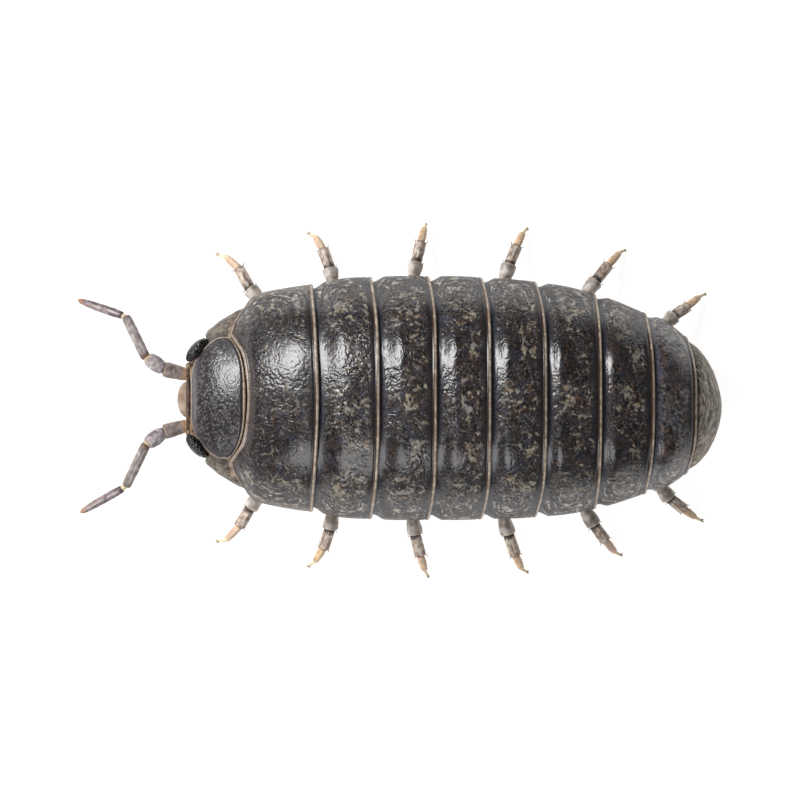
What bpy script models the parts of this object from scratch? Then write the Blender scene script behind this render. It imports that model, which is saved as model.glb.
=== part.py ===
"""Pill woodlouse, adult, life size, standing still on its feet.

Frame: metres, +Z up, the floor at z = 0, the head towards -X.  The animal's
right side is +Y and its left side is -Y.  The origin lies on the floor under
the middle of the whole model.

Plan sizes are given in drawing units (one unit is 1/545 of the body length),
heights and thicknesses in millimetres.  A plan point (px, py) lies at
x = px - 399.9 and y = 400.3 - py units from the origin.
"""
import math

import bmesh
import bpy
import numpy as np

# ----------------------------------------------------------------- sizes
MM = 0.001                       # metres in a millimetre
BODY_LENGTH = 18.0               # mm, front of the face to the tail's edge
UNIT = BODY_LENGTH / 545.0       # mm in one drawing unit
PLAN_CENTRE = (399.9, 400.3)     # drawing point over the origin

SPINE_OFFSET = 398.0             # plan line of the straight part of the back
SWAY_START, SWAY, SWAY_POWER = 450.0, 9.0, 1.6   # gentle sideways sway of the rear

ARCH_POWER = 2.2                 # cross-section of the back, a superellipse
SKIRT_Z = 1.35                   # mm, lower edge of the back plates
LIP = 0.13                       # mm, thickness of a plate's rear lip
GAP = 0.03                       # mm, air between neighbouring pieces
PLATE_THICKNESS = 0.36           # mm, a plate behind its lip
TUCK = 12.0                      # units, how far a plate runs under the one ahead
RISE = 16.0                      # units, over which a plate swells to full size
TRUNK_INSET = 0.62               # mm, trunk below the outside of the plates

# stations along the body: (plan x, half width in units) and (plan x, crown in mm)
HALF_WIDTH = ((228, 79), (243, 90), (254, 102.5), (281, 109.5), (310, 114), (353, 120.4),
              (401, 122), (443, 122), (518, 119.2), (557, 115.4), (596, 107.5),
              (644, 91), (660, 86), (687, 68), (700, 58))
CROWN = ((228, 3.2), (246, 3.42), (316.5, 4.45), (377.7, 4.85), (434.2, 4.98), (489, 5.0),
         (544.5, 4.9), (600, 4.6), (653, 4.1), (696, 3.3), (712, 2.9))

# back plates: rear edge at the midline, how far its ends lie ahead of that,
# and how sharply it turns forward near the ends
PLATE_REAR = (316.5, 377.7, 434.2, 489.0, 544.5, 600.0, 653.0, 696.0)
REAR_BOW = (7.0, 8.2, 7.7, 8.5, 10.0, 5.0, 7.5, 8.5)
BOW_POWER = (1.8, 3.0, 5.0, 5.5, 4.5, 4.0, 3.0, 3.5)
LIP_SCALE = (1.0, 1.0, 1.0, 1.0, 1.0, 0.8, 0.65, 0.65)
# front edge of the first plate, which reaches forward round the head:
# (share of the half width, plan x)
COLLAR_LINE = ((0.0, 246.0), (0.5, 244.5), (0.61, 240.0), (0.73, 235.5), (0.93, 237.5), (1.0, 243.0))

# tail plate: half of a pointed ellipse in plan
TAIL_CENTRE, TAIL_REACH, TAIL_HALF, TAIL_POWER = 684.0, 38.0, 65.0, 1.7
TAIL_EDGE_Z = (1.42, 1.55)       # mm, at the sides and at the rear

# head: plan x, half width, crown, side rim height, underside height
HEAD_RINGS = ((190.0, 33.0, 2.38, 2.10, 1.25), (198.0, 42.0, 2.58, 2.22, 1.22),
              (206.6, 51.0, 2.76, 2.35, 1.20), (216.0, 57.0, 2.93, 2.50, 1.20),
              (226.0, 60.0, 3.10, 2.64, 1.25), (235.0, 58.0, 3.24, 2.80, 1.32),
              (241.0, 47.0, 3.33, 3.02, 1.45), (243.5, 40.0, 3.10, 2.86, 1.55),
              (251.0, 38.0, 3.02, 2.80, 1.62))

EYE_LENGTH, EYE_HEIGHT, EYE_DEPTH = 0.90, 0.70, 0.36   # mm
EYE_Z = 2.08                     # mm, centre of the eye
EYE_FOOT = ((190.0, 33.0), (206.6, 51.0))   # plan line of the head's corner the eye sits on
EYE_SHIFT = 3.0                  # units, centre of the eye along that line, outwards

COLLAR_FRONT = 208.5             # plan x where the neck lobe starts, behind the eye
COLLAR_HALF = ((202, 60), (209, 68.5), (215, 73.5), (221, 78), (230, 83.5), (236, 87), (243, 90))
COLLAR_THICKNESS = 0.34          # mm

FEELER_RADIUS = 0.25             # mm, antenna articles
LEG_RADIUS = 0.25                # mm

# ----------------------------------------------------------- scene start
for item in list(bpy.data.objects):
    bpy.data.objects.remove(item, do_unlink=True)


# ------------------------------------------------------------- functions
def curve(table):
    """Smooth, non-overshooting curve through (station, value) pairs."""
    xs = np.array([p[0] for p in table], float)
    ys = np.array([p[1] for p in table], float)
    h = np.diff(xs)
    d = np.diff(ys) / h
    m = np.zeros(len(xs))
    m[0], m[-1] = d[0], d[-1]
    for k in range(1, len(xs) - 1):
        if d[k - 1] * d[k] > 0:
            a, b = 2 * h[k] + h[k - 1], h[k] + 2 * h[k - 1]
            m[k] = (a + b) / (a / d[k - 1] + b / d[k])

    def at(x):
        x = np.asarray(x, float)
        k = np.clip(np.searchsorted(xs, x) - 1, 0, len(h) - 1)
        t = (x - xs[k]) / h[k]
        inside = ((2 * t**3 - 3 * t**2 + 1) * ys[k] + (t**3 - 2 * t**2 + t) * h[k] * m[k]
                  + (3 * t**2 - 2 * t**3) * ys[k + 1] + (t**3 - t**2) * h[k] * m[k + 1])
        before = ys[0] + (x - xs[0]) * m[0]
        after = ys[-1] + (x - xs[-1]) * m[-1]
        return np.where(x < xs[0], before, np.where(x > xs[-1], after, inside))
    return at


half_width_at = curve(HALF_WIDTH)
crown_at = curve(CROWN)
collar_half_at = curve(COLLAR_HALF)
head_half_at = curve([(r[0], r[1]) for r in HEAD_RINGS])
head_rim_at = curve([(r[0], r[3]) for r in HEAD_RINGS])


def ease(t):
    t = np.clip(t, 0.0, 1.0)
    return t * t * (3 - 2 * t)


def spine(px):
    """Plan line of the back's middle, in drawing units."""
    return SPINE_OFFSET + SWAY * np.clip((px - SWAY_START) / 270.0, 0, None) ** SWAY_POWER


def place(px, side, z):
    """Body coordinates to millimetres: side is measured from the spine, right is positive."""
    px, side, z = np.broadcast_arrays(np.asarray(px, float), np.asarray(side, float),
                                      np.asarray(z, float))
    x = (px - PLAN_CENTRE[0]) * UNIT
    y = (PLAN_CENTRE[1] - spine(px)) * UNIT + side * UNIT
    return np.stack([x, y, z], -1)


def plan(px, py, z):
    """Drawing point to millimetres."""
    return np.array([(px - PLAN_CENTRE[0]) * UNIT, (PLAN_CENTRE[1] - py) * UNIT, z])


def arch(angle):
    """Sideways and upward shares of the arched cross-section."""
    power = 2.0 / ARCH_POWER
    s = np.sign(np.sin(angle)) * np.abs(np.sin(angle)) ** power
    c = np.clip(np.cos(angle), 0, None) ** power
    return s, c


def shell_point(px, s, c, inset, skirt=SKIRT_Z):
    """A point of the back at a given inset (mm) below its outer envelope."""
    half = half_width_at(px) - inset / UNIT
    crown = crown_at(px) - inset
    return place(px, half * s, skirt + (crown - skirt) * c)


def add(name, verts, faces, colour, roughness):
    """One closed solid, built in millimetres and stored in metres."""
    bm = bmesh.new()
    handles = [bm.verts.new(tuple(float(q) for q in v)) for v in verts]
    for f in faces:
        bm.faces.new([handles[i] for i in f])
    bmesh.ops.triangulate(bm, faces=[f for f in bm.faces if len(f.verts) > 4])
    if bm.calc_volume(signed=True) < 0:
        bmesh.ops.reverse_faces(bm, faces=bm.faces)
    bmesh.ops.scale(bm, vec=(MM, MM, MM), verts=bm.verts)
    mesh = bpy.data.meshes.new(name)
    bm.to_mesh(mesh)
    bm.free()
    mesh.shade_smooth()
    mesh.set_sharp_from_angle(angle=math.radians(40))
    material = bpy.data.materials.new(name + "_finish")
    material.use_nodes = True
    shader = material.node_tree.nodes["Principled BSDF"]
    shader.inputs["Base Color"].default_value = (*colour, 1.0)
    shader.inputs["Roughness"].default_value = roughness
    shader.inputs["Metallic"].default_value = 0.0
    mesh.materials.append(material)
    obj = bpy.data.objects.new(name, mesh)
    bpy.context.scene.collection.objects.link(obj)
    return obj


def loft(rings):
    """Closed body through rings of equal length, with flat ends."""
    n = len(rings[0])
    verts = [p for ring in rings for p in ring]
    faces = []
    for r in range(len(rings) - 1):
        for i in range(n):
            j = (i + 1) % n
            a, b = r * n + i, r * n + j
            faces.append((a, b, b + n))
            faces.append((a, b + n, a + n))
    faces.append(tuple(range(n))[::-1])
    faces.append(tuple((len(rings) - 1) * n + i for i in range(n)))
    return verts, faces


def shell(outer, inner):
    """Closed curved sheet between two grids of points of the same shape."""
    rows, cols = outer.shape[:2]
    verts = list(outer.reshape(-1, 3)) + list(inner.reshape(-1, 3))
    base = rows * cols
    faces = []

    def quad(a, b, c, d):
        faces.append((a, b, c))
        faces.append((a, c, d))
    for r in range(rows - 1):
        for k in range(cols - 1):
            a = r * cols + k
            quad(a, a + 1, a + cols + 1, a + cols)
            faces.append((base + a, base + a + cols + 1, base + a + 1))
            faces.append((base + a, base + a + cols, base + a + cols + 1))
    for k in range(cols - 1):
        quad(k + 1, k, base + k, base + k + 1)
        e = (rows - 1) * cols + k
        quad(e, e + 1, base + e + 1, base + e)
    for r in range(rows - 1):
        a = r * cols
        quad(a, a + cols, base + a + cols, base + a)
        e = r * cols + cols - 1
        quad(e + cols, e, base + e, base + e + cols)
    return verts, faces


def tube(path, radii, sides=8, floor=None, squash=1.0):
    """Rings square to a smooth path; a floor flattens the underside of what reaches it."""
    path = [np.asarray(p, float) for p in path]
    rings = []
    up = np.array([0.0, 0.0, 1.0])
    for k, p in enumerate(path):
        a = path[max(k - 1, 0)]
        b = path[min(k + 1, len(path) - 1)]
        t = (b - a) / np.linalg.norm(b - a)
        side = np.cross(t, up)
        side /= np.linalg.norm(side)
        top = np.cross(side, t)
        ring = []
        for i in range(sides):
            w = 2 * math.pi * (i + 0.5) / sides
            q = p + radii[k] * (math.cos(w) * side + squash * math.sin(w) * top)
            if floor is not None:
                q[2] = max(q[2], floor)
            ring.append(q)
        rings.append(ring)
    return rings


def smooth_path(points, steps):
    """Catmull-Rom path through a few named points."""
    pts = [np.asarray(p, float) for p in points]
    pts = [2 * pts[0] - pts[1]] + pts + [2 * pts[-1] - pts[-2]]
    out = []
    for k in range(1, len(pts) - 2):
        p0, p1, p2, p3 = pts[k - 1:k + 3]
        for i in range(steps[k - 1]):
            t = i / steps[k - 1]
            out.append(0.5 * (2 * p1 + (p2 - p0) * t + (2 * p0 - 5 * p1 + 4 * p2 - p3) * t**2
                              + (3 * p1 - p0 - 3 * p2 + p3) * t**3))
    out.append(pts[-2])
    return out


# ---------------------------------------------------------- back plates
COLUMNS = 20
angles = np.linspace(-math.pi / 2, math.pi / 2, COLUMNS + 1)
S, C = arch(angles)
S[0], S[-1], C[0], C[-1] = -1.0, 1.0, 0.0, 0.0
SHELL_COLOUR = (0.075, 0.07, 0.075)


def rear_line(k):
    return PLATE_REAR[k] - REAR_BOW[k] * np.abs(S) ** BOW_POWER[k]


for k in range(8):
    rear = rear_line(k)
    lip = LIP * LIP_SCALE[k]
    if k == 0:
        front = curve(COLLAR_LINE)(np.abs(S))
        rows = [(front, 0.0, 0.18, 0.10), (front + 10, 0.0, 0.30, 0.0)]
    else:
        ahead = rear_line(k - 1)
        step = LIP * LIP_SCALE[k - 1] + GAP
        rows = [(ahead - TUCK, step, 0.22, 0.12), (ahead + 1.5, step, 0.30, 0.05),
                (ahead + RISE, 0.01, PLATE_THICKNESS, 0.0)]
    if k < 7:
        rows.append((rear - 21, -0.01, PLATE_THICKNESS, -0.02))
    rows += [(rear - TUCK - 2, 0.0, lip, 0.0), (rear, -0.01, lip, 0.05)]
    outer = np.stack([shell_point(px, S, C, inset, SKIRT_Z + rise) for px, inset, _, rise in rows])
    inner = np.stack([shell_point(px, S, C, inset + thick, SKIRT_Z + rise)
                      for px, inset, thick, rise in rows])
    verts, faces = shell(outer, inner)
    add("plate_%d" % (k + 1), verts, faces, SHELL_COLOUR, 0.38)

# tail plate: from under the eighth plate down to the rounded rear edge
ahead = rear_line(7)
step = LIP * LIP_SCALE[7] + GAP
tail_side = 0.978 * TAIL_HALF * S
tail_rear = TAIL_CENTRE + TAIL_REACH * np.clip(
    1 - np.abs(tail_side / TAIL_HALF) ** TAIL_POWER, 0, 1) ** (1 / TAIL_POWER)
edge_z = TAIL_EDGE_Z[0] + (TAIL_EDGE_Z[1] - TAIL_EDGE_Z[0]) * C
outer_rows, inner_rows = [], []
for px, thick in ((ahead - 10, 0.20), (ahead + 1.5, 0.24)):
    outer_rows.append(shell_point(px, S, C, step))
    inner_rows.append(shell_point(px, S, C, step + thick))
start = outer_rows[1]
end = place(tail_rear, tail_side, edge_z)
for q in (0.25, 0.5, 0.75, 0.9, 1.0):
    fall = (1 - q ** 1.7) ** (1 / 1.7) if q < 1 else 0.0
    row = start + (end - start) * q
    row[:, 2] = end[:, 2] + (start[:, 2] - end[:, 2]) * fall
    thick = 0.24 - 0.06 * q
    inward = row.copy()
    inward[:, 0] -= thick * q ** 2 * (0.35 + 0.65 * C)
    inward[:, 1] -= thick * S
    inward[:, 2] = np.maximum(row[:, 2] - thick * (1 - q ** 3) * C * 1.1, edge_z)
    outer_rows.append(row)
    inner_rows.append(inward)
verts, faces = shell(np.stack(outer_rows), np.stack(inner_rows))
add("plate_9", verts, faces, (0.14, 0.125, 0.11), 0.42)

# ----------------------------------------------------------------- trunk
# a full body under the plates, flat below, with a sloping bay for the legs
BELLY_Z = 1.70                   # mm, flat underside
BAY_INNER, BAY_OUTER = 0.42, 0.75    # shares of the half width where the bay starts and ends
BAY_TOP = 2.50                   # mm
rings = []
for px in (253, 268, 290, 316, 347, 378, 405, 434, 461, 489, 516, 545, 572, 600, 626, 650, 672, 691):
    half = float(half_width_at(px)) - TRUNK_INSET / UNIT
    crown = float(crown_at(px)) - TRUNK_INSET
    full = float(half_width_at(px))
    fade = float(ease((px - 640) / 45.0))
    bay_top = min(BAY_TOP - 0.35 * fade, crown - 0.30)
    floor_z = BELLY_Z + 0.06 * fade
    reach = math.acos(((bay_top + 0.10 - SKIRT_Z) / (crown - SKIRT_Z)) ** (ARCH_POWER / 2.0))
    ts, tc = arch(np.linspace(-reach, reach, 11))
    pts = list(zip(half * ts, SKIRT_Z + (crown - SKIRT_Z) * tc))
    under = [(min(BAY_OUTER * full, half * abs(ts[0]) * 0.97), bay_top),
             (BAY_INNER * full, floor_z + 0.02), (BAY_INNER * full * 0.45, floor_z)]
    pts = pts + under + [(-a, b) for a, b in under[::-1]]
    rings.append([place(px, a, b) for a, b in pts])
verts, faces = loft(rings)
add("trunk", verts, faces, (0.42, 0.36, 0.30), 0.6)

# ------------------------------------------------------------------ head
rings = []
head_top = np.radians(np.linspace(90, -90, 13))
for px, half, crown, rim, under in HEAD_RINGS:
    ring = []
    for w in head_top:
        s_ = math.copysign(abs(math.sin(w)) ** 0.95, math.sin(w))
        ring.append(place(px, half * s_, rim + (crown - rim) * max(math.cos(w), 0) ** 0.9))
    depth = rim - under
    for a, b in ((-0.98, 0.16), (-0.86, 0.45), (-0.72, 0.8), (-0.45, 1.0),
                 (0.45, 1.0), (0.72, 0.8), (0.86, 0.45), (0.98, 0.16)):
        ring.append(place(px, half * a, rim - depth * b))
    rings.append(ring)
verts, faces = loft(rings)
add("head", verts, faces, (0.10, 0.095, 0.10), 0.42)


def dome(centre, out, along, up, depth, half_length, half_height, rings_n=4, around=14, power=1.0):
    """Half ellipsoid with a flat back, bulging towards out."""
    verts = []
    for r in range(rings_n):
        w = math.pi / 2 * r / rings_n
        for i in range(around):
            a = 2 * math.pi * i / around
            ca = math.copysign(abs(math.cos(a)) ** power, math.cos(a))
            sa = math.copysign(abs(math.sin(a)) ** power, math.sin(a))
            verts.append(centre + out * depth * math.sin(w)
                         + math.cos(w) * (along * half_length * ca + up * half_height * sa))
    verts.append(centre + out * depth)
    faces = []
    for r in range(rings_n - 1):
        for i in range(around):
            a, b = r * around + i, r * around + (i + 1) % around
            faces.append((a, b, b + around, a + around))
    top = rings_n * around
    last = (rings_n - 1) * around
    for i in range(around):
        faces.append((last + i, last + (i + 1) % around, top))
    faces.append(tuple(range(around))[::-1])
    return verts, faces


# ------------------------------------------------------------------ eyes
for name, hand in (("eye_right", 1.0), ("eye_left", -1.0)):
    (x0, y0), (x1, y1) = EYE_FOOT
    a = place(x0, hand * y0, EYE_Z)
    b = place(x1, hand * y1, EYE_Z)
    along = (b - a) / np.linalg.norm(b - a)
    up = np.array([0.0, 0.0, 1.0])
    out = np.cross(along, up) * -hand
    if out[0] > 0:
        out = -out
    out /= np.linalg.norm(out)
    centre = (a + b) / 2 + along * EYE_SHIFT * UNIT + out * GAP
    verts, faces = dome(centre, out, along, up, EYE_DEPTH, EYE_LENGTH / 2, EYE_HEIGHT / 2)
    add(name, verts, faces, (0.012, 0.011, 0.011), 0.25)

# ---------------------------------------------------- face and mouthparts
centre = plan(188.4, 399.5, 1.52)
verts, faces = dome(centre, np.array([-1.0, 0, 0]), np.array([0, 1.0, 0]), np.array([0, 0, 1.0]),
                    10.9 * UNIT, 17 * UNIT, 0.50, rings_n=5, around=16, power=0.8)
add("clypeus", verts, faces, (0.44, 0.34, 0.26), 0.5)

rings = []
for px, half, top, low in ((184.0, 9, 0.90, 0.78), (186.5, 15, 0.94, 0.68), (192, 21, 1.18, 0.66),
                           (201, 24, 1.17, 0.66), (210, 22, 1.16, 0.74), (217, 16, 1.15, 0.88),
                           (220, 9, 1.14, 1.0)):
    mid, rise = (top + low) / 2, (top - low) / 2
    ring = []
    for i in range(12):
        w = 2 * math.pi * i / 12
        ca = math.copysign(abs(math.cos(w)) ** 0.8, math.cos(w))
        sa = math.copysign(abs(math.sin(w)) ** 0.7, math.sin(w))
        notch = 0.10 * math.exp(-(ca * half / 4.0) ** 2) if sa < 0 else 0.0
        ring.append(place(px, half * ca, mid + rise * sa + notch))
    rings.append(ring)
verts, faces = loft(rings)
add("mouthparts", verts, faces, (0.40, 0.30, 0.22), 0.5)

# ------------------------------------------------------------ neck lobes
front_edge = curve([(s_, x_) for s_, x_ in COLLAR_LINE])
across = np.linspace(0, 1, 7)
for name, hand in (("collar_right", 1.0), ("collar_left", -1.0)):
    rows_o, rows_i = [], []
    for u in np.linspace(0, 1, 6):
        ro, ri = [], []
        for s in across:
            lateral = 0.70 + 0.30 * math.sin(s * math.pi / 2) ** 0.9
            stop = float(front_edge(lateral)) - 1.4
            px = COLLAR_FRONT + (stop - COLLAR_FRONT) * u
            inner_side = float(head_half_at(min(px, 229.0))) + 1.6
            outer_side = float(collar_half_at(px))
            top = float(head_rim_at(px)) - 0.10
            skirt = SKIRT_Z + 0.12 * (1 - u)
            sn, cs = math.sin(s * math.pi / 2) ** 0.9, max(math.cos(s * math.pi / 2), 0) ** 0.9
            side = inner_side + (outer_side - inner_side) * sn
            z = skirt + (top - skirt) * cs
            ro.append(place(px, hand * side, z))
            ri.append(place(px, hand * (side - COLLAR_THICKNESS / UNIT * sn), z - COLLAR_THICKNESS * cs))
        rows_o.append(ro)
        rows_i.append(ri)
    verts, faces = shell(np.array(rows_o), np.array(rows_i))
    add(name, verts, faces, (0.26, 0.22, 0.18), 0.5)

# ------------------------------------------------------------- antennae
# each article from its near end to its far end: plan points and heights
FEELERS = {
    "right": (((188.2, 374.3, 1.72), (166.5, 370.0, 1.80)),
              ((162.8, 368.2, 1.84), (147.8, 358.8, 1.98)),
              ((144.6, 354.8, 1.97), (125.8, 318.6, 1.52)),
              ((121.6, 315.0, 1.46), (80.5, 300.8, 0.72))),
    "left": (((188.2, 425.7, 1.72), (166.5, 431.0, 1.80)),
             ((162.8, 433.0, 1.84), (147.8, 443.2, 1.98)),
             ((144.9, 447.4, 1.97), (126.0, 484.8, 1.52)),
             ((121.8, 489.8, 1.46), (83.4, 511.0, 0.72))),
}
for side_name, articles in FEELERS.items():
    for k, (near, far) in enumerate(articles):
        a, b = plan(*near), plan(*far)
        stations = (0.0, 0.12, 0.5, 0.86, 1.0)
        shape = (0.72, 1.0, 1.0, 1.0, 0.70) if k < 3 else (0.75, 1.0, 1.0, 0.98, 0.66)
        if k == 0:
            shape = (0.95, 1.0, 1.0, 1.0, 0.72)
        path = [a + (b - a) * t for t in stations]
        verts, faces = loft(tube(path, [FEELER_RADIUS * q * 1.03 for q in shape], sides=8))
        add("antenna_%s_%d" % (side_name, k + 1), verts, faces, (0.22, 0.18, 0.16), 0.45)

# ------------------------------------------------------------------ legs
# plan points where each leg passes the skirt, ends its first, second and
# third free articles, and ends its claw; the fourth pair is drawn in under
# the body and stands just inside the skirt
LEG_ROOT = (283.0, 347.0, 405.0, 461.0, 516.0, 572.0, 626.0)
LEGS = {
    "right": (((258, 298), (250, 289), (238, 268), (225, 256), (216, 254)),
              ((332, 279), (330, 269), (322.5, 249), (315, 236), (307.6, 233)),
              ((414, 274), (416, 263), (421, 241.5), (424.5, 227), (426, 223)),
              None,
              ((505, 278), (509.5, 264.5), (517, 245.5), (523.5, 232), (527.6, 227.5)),
              ((587, 292), (596, 281), (609, 264.5), (620.5, 252), (626, 249)),
              ((668, 322), (674, 316), (688.5, 306), (700.5, 296.5), (706.6, 293))),
    "left": (((258, 497), (250, 507.5), (239, 526.5), (225.5, 540.5), (216, 541.4)),
             ((332, 516), (330, 528.5), (323, 549), (314.7, 562), (307.7, 566.8)),
             ((413, 520), (415, 534), (420.5, 556), (425, 571.5), (428, 577.8)),
             None,
             ((504, 519), (508.5, 534), (516, 556), (522, 569.5), (528, 573.5)),
             ((586, 511), (594.5, 525), (606, 541), (616, 553), (622.5, 556.3)),
             ((662, 488.5), (670, 498), (685, 509.7), (696.6, 518), (703.8, 521.9))),
}
LEG_Z = (0.98, 0.86, 0.52, 0.20)  # mm, axis at the skirt and at the three article ends
FOOT_Z = 0.14                     # mm, axis at the claw: the flat of the foot is on the floor
BAY_SLOPE = (0.514, -0.857)       # outward normal of the trunk's bay in its cross-section
for side_name, hand in (("right", 1.0), ("left", -1.0)):
    for k, marks in enumerate(LEGS[side_name]):
        root_px = LEG_ROOT[k]
        full = float(half_width_at(root_px))
        share = 0.55
        y0 = share * full * UNIT
        z0 = BELLY_Z + (BAY_TOP - BELLY_Z) * (share - BAY_INNER) / (BAY_OUTER - BAY_INNER)

        def off(px, side_mm, z):
            return place(px, hand * side_mm / UNIT, z)
        y0 += 0.05 * BAY_SLOPE[0]
        z0 += 0.05 * BAY_SLOPE[1]
        root = [off(root_px, y0, z0),
                off(root_px, y0 + 0.40 * BAY_SLOPE[0], z0 + 0.40 * BAY_SLOPE[1])]
        if marks is None:
            free = [off(root_px + 1, 3.02, 1.18), off(root_px + 3, 3.40, 0.80),
                    off(root_px + 7, 3.54, 0.44), off(root_px + 14, 3.56, 0.20),
                    off(root_px + 19, 3.56, FOOT_Z)]
            path = smooth_path(root + free, (1, 2, 2, 1, 1, 1))
            tip = 2
        else:
            pts = [plan(p[0], p[1], z) for p, z in zip(marks, LEG_Z)]
            claw = plan(marks[4][0], marks[4][1], FOOT_Z)
            reach = (claw - pts[3]) / np.linalg.norm(claw - pts[3])
            claw = claw - reach * 0.03
            drop = 0.14 if k < 6 else 0.24
            middle = (root[1] + pts[0]) / 2 - np.array([0, 0, drop])
            path = smooth_path(root + [middle] + pts + [claw], (1, 1, 2, 1, 2, 2, 1))
            tip = 2
        n = len(path)
        radii = [LEG_RADIUS * 1.04] * n
        radii[0] *= 0.94
        radii[-1] *= 0.80
        verts, faces = loft(tube(path, radii, sides=8, floor=0.0))
        add("leg_%s_%d" % (side_name, k + 1), verts, faces, (0.42, 0.33, 0.25), 0.45)

# ------------------------------------------------- under the tail: gill
# plates in one stepped piece, and the two small tail limbs
rings = []
GILL_TOP = 1.66
front_px = 642.0
for step_no, (half0, half1) in enumerate(((37, 36), (34, 32), (30, 27), (25, 20))):
    a = front_px + step_no * 12.0
    for px, half, low in ((a, half0, 1.50), (a + 11.2, half1, 1.36)):
        ring = []
        for sx, zz in ((-1, GILL_TOP), (-1.0, (GILL_TOP + low) / 2), (-0.8, low + 0.02), (-0.12, low),
                       (0, low + 0.05), (0.12, low), (0.8, low + 0.02), (1.0, (GILL_TOP + low) / 2),
                       (1, GILL_TOP)):
            ring.append(place(px, half * sx, zz))
        rings.append(ring)
verts, faces = loft(rings)
add("pleopods", verts, faces, (0.52, 0.46, 0.38), 0.5)

for name, hand in (("uropod_right", 1.0), ("uropod_left", -1.0)):
    rings = []
    for px, mid, half, thick in ((694.5, 30, 3.5, 0.08), (698, 30, 6.0, 0.10), (703, 28.5, 6.5, 0.10),
                                 (707, 25.5, 5.0, 0.09), (710.5, 23, 2.2, 0.06)):
        ring = []
        for i in range(8):
            w = 2 * math.pi * i / 8
            ring.append(place(px, hand * (mid + half * math.cos(w)), 1.56 + thick * math.sin(w)))
        rings.append(ring)
    verts, faces = loft(rings)
    add(name, verts, faces, (0.34, 0.27, 0.20), 0.5)
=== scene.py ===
"""Looks of the pill woodlouse: fine shells, head, eyes, antennae, legs and
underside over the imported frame, with a pale floor, soft light and a camera
straight above the back.

Lengths inside the script are in millimetres; plan stations are in drawing
units (1/545 of the body's 18 mm), the same as the frame's own plan.
"""
import math

import bpy
import numpy as np
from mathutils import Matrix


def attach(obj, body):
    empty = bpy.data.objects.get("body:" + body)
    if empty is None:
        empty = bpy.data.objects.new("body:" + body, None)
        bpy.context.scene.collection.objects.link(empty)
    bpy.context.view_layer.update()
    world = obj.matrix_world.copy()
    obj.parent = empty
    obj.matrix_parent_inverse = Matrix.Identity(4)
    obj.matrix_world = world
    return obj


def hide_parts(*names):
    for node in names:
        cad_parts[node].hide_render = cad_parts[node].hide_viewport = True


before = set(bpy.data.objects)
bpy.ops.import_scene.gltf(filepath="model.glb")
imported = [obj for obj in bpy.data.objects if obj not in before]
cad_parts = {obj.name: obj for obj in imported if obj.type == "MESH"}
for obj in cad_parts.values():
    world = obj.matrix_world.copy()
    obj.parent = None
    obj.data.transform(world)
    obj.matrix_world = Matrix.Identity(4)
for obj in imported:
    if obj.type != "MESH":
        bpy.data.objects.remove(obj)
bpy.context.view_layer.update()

# ------------------------------------------------------------------ sizes
BODY_LENGTH = 18.0
UNIT = BODY_LENGTH / 545.0
PLAN_CENTRE = (399.9, 400.3)
SPINE_OFFSET = 398.0
SWAY_START, SWAY, SWAY_POWER = 450.0, 9.0, 1.6
ARCH_POWER = 2.2
SKIRT_Z = 1.35
HALF_WIDTH = ((228, 79), (243, 90), (254, 102.5), (281, 109.5), (310, 114), (353, 120.4),
              (401, 122), (443, 122), (518, 119.2), (557, 115.4), (596, 107.5),
              (644, 91), (660, 86), (687, 68), (700, 58))
CROWN = ((228, 3.2), (246, 3.42), (262, 3.76), (280, 4.06), (298, 4.29), (316.5, 4.45), (377.7, 4.85), (434.2, 4.98), (489, 5.0),
         (544.5, 4.9), (600, 4.6), (653, 4.1), (696, 3.3), (712, 2.9))
PLATE_REAR = (319.6, 380.2, 437.0, 491.0, 546.6, 601.2, 654.0, 696.6)
REAR_BOW = (7.0, 8.2, 7.7, 8.5, 10.0, 5.0, 7.5, 8.5)
BOW_POWER = (1.8, 3.0, 5.0, 5.5, 4.5, 4.0, 3.0, 3.5)
LIP, LIP_SCALE = 0.13, (1.0, 1.0, 1.0, 1.0, 1.0, 0.8, 0.65, 0.65)
GAP, TUCK = 0.03, 12.0
RISE = (25.0, 29.0, 25.0, 21.0, 19.0, 15.0, 13.5, 13.5)
COLLAR_LINE = ((0.0, 247.3), (0.15, 246.6), (0.25, 245.6), (0.41, 243.4), (0.534, 240.3), (0.62, 236.6),
               (0.725, 232.0), (0.78, 229.8), (0.872, 231.8), (0.942, 236.2), (0.985, 242.5), (1.0, 246.5))
TAIL_CENTRE, TAIL_REACH, TAIL_HALF, TAIL_POWER = 684.0, 38.0, 65.0, 1.7
TAIL_EDGE_Z = (1.42, 1.55)
COARSE = 1.0      # fewer points while working


# ------------------------------------------------------------------ maths
def curve(table):
    xs = np.array([p[0] for p in table], float)
    ys = np.array([p[1] for p in table], float)
    h = np.diff(xs)
    d = np.diff(ys) / h
    m = np.zeros(len(xs))
    m[0], m[-1] = d[0], d[-1]
    for k in range(1, len(xs) - 1):
        if d[k - 1] * d[k] > 0:
            a, b = 2 * h[k] + h[k - 1], h[k] + 2 * h[k - 1]
            m[k] = (a + b) / (a / d[k - 1] + b / d[k])

    def at(x):
        x = np.asarray(x, float)
        k = np.clip(np.searchsorted(xs, x) - 1, 0, len(h) - 1)
        t = (x - xs[k]) / h[k]
        inside = ((2 * t**3 - 3 * t**2 + 1) * ys[k] + (t**3 - 2 * t**2 + t) * h[k] * m[k]
                  + (3 * t**2 - 2 * t**3) * ys[k + 1] + (t**3 - t**2) * h[k] * m[k + 1])
        before = ys[0] + (x - xs[0]) * m[0]
        after = ys[-1] + (x - xs[-1]) * m[-1]
        return np.where(x < xs[0], before, np.where(x > xs[-1], after, inside))
    return at


half_width_at = curve(HALF_WIDTH)
crown_at = curve(CROWN)
collar_line_at = curve(COLLAR_LINE)


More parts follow.
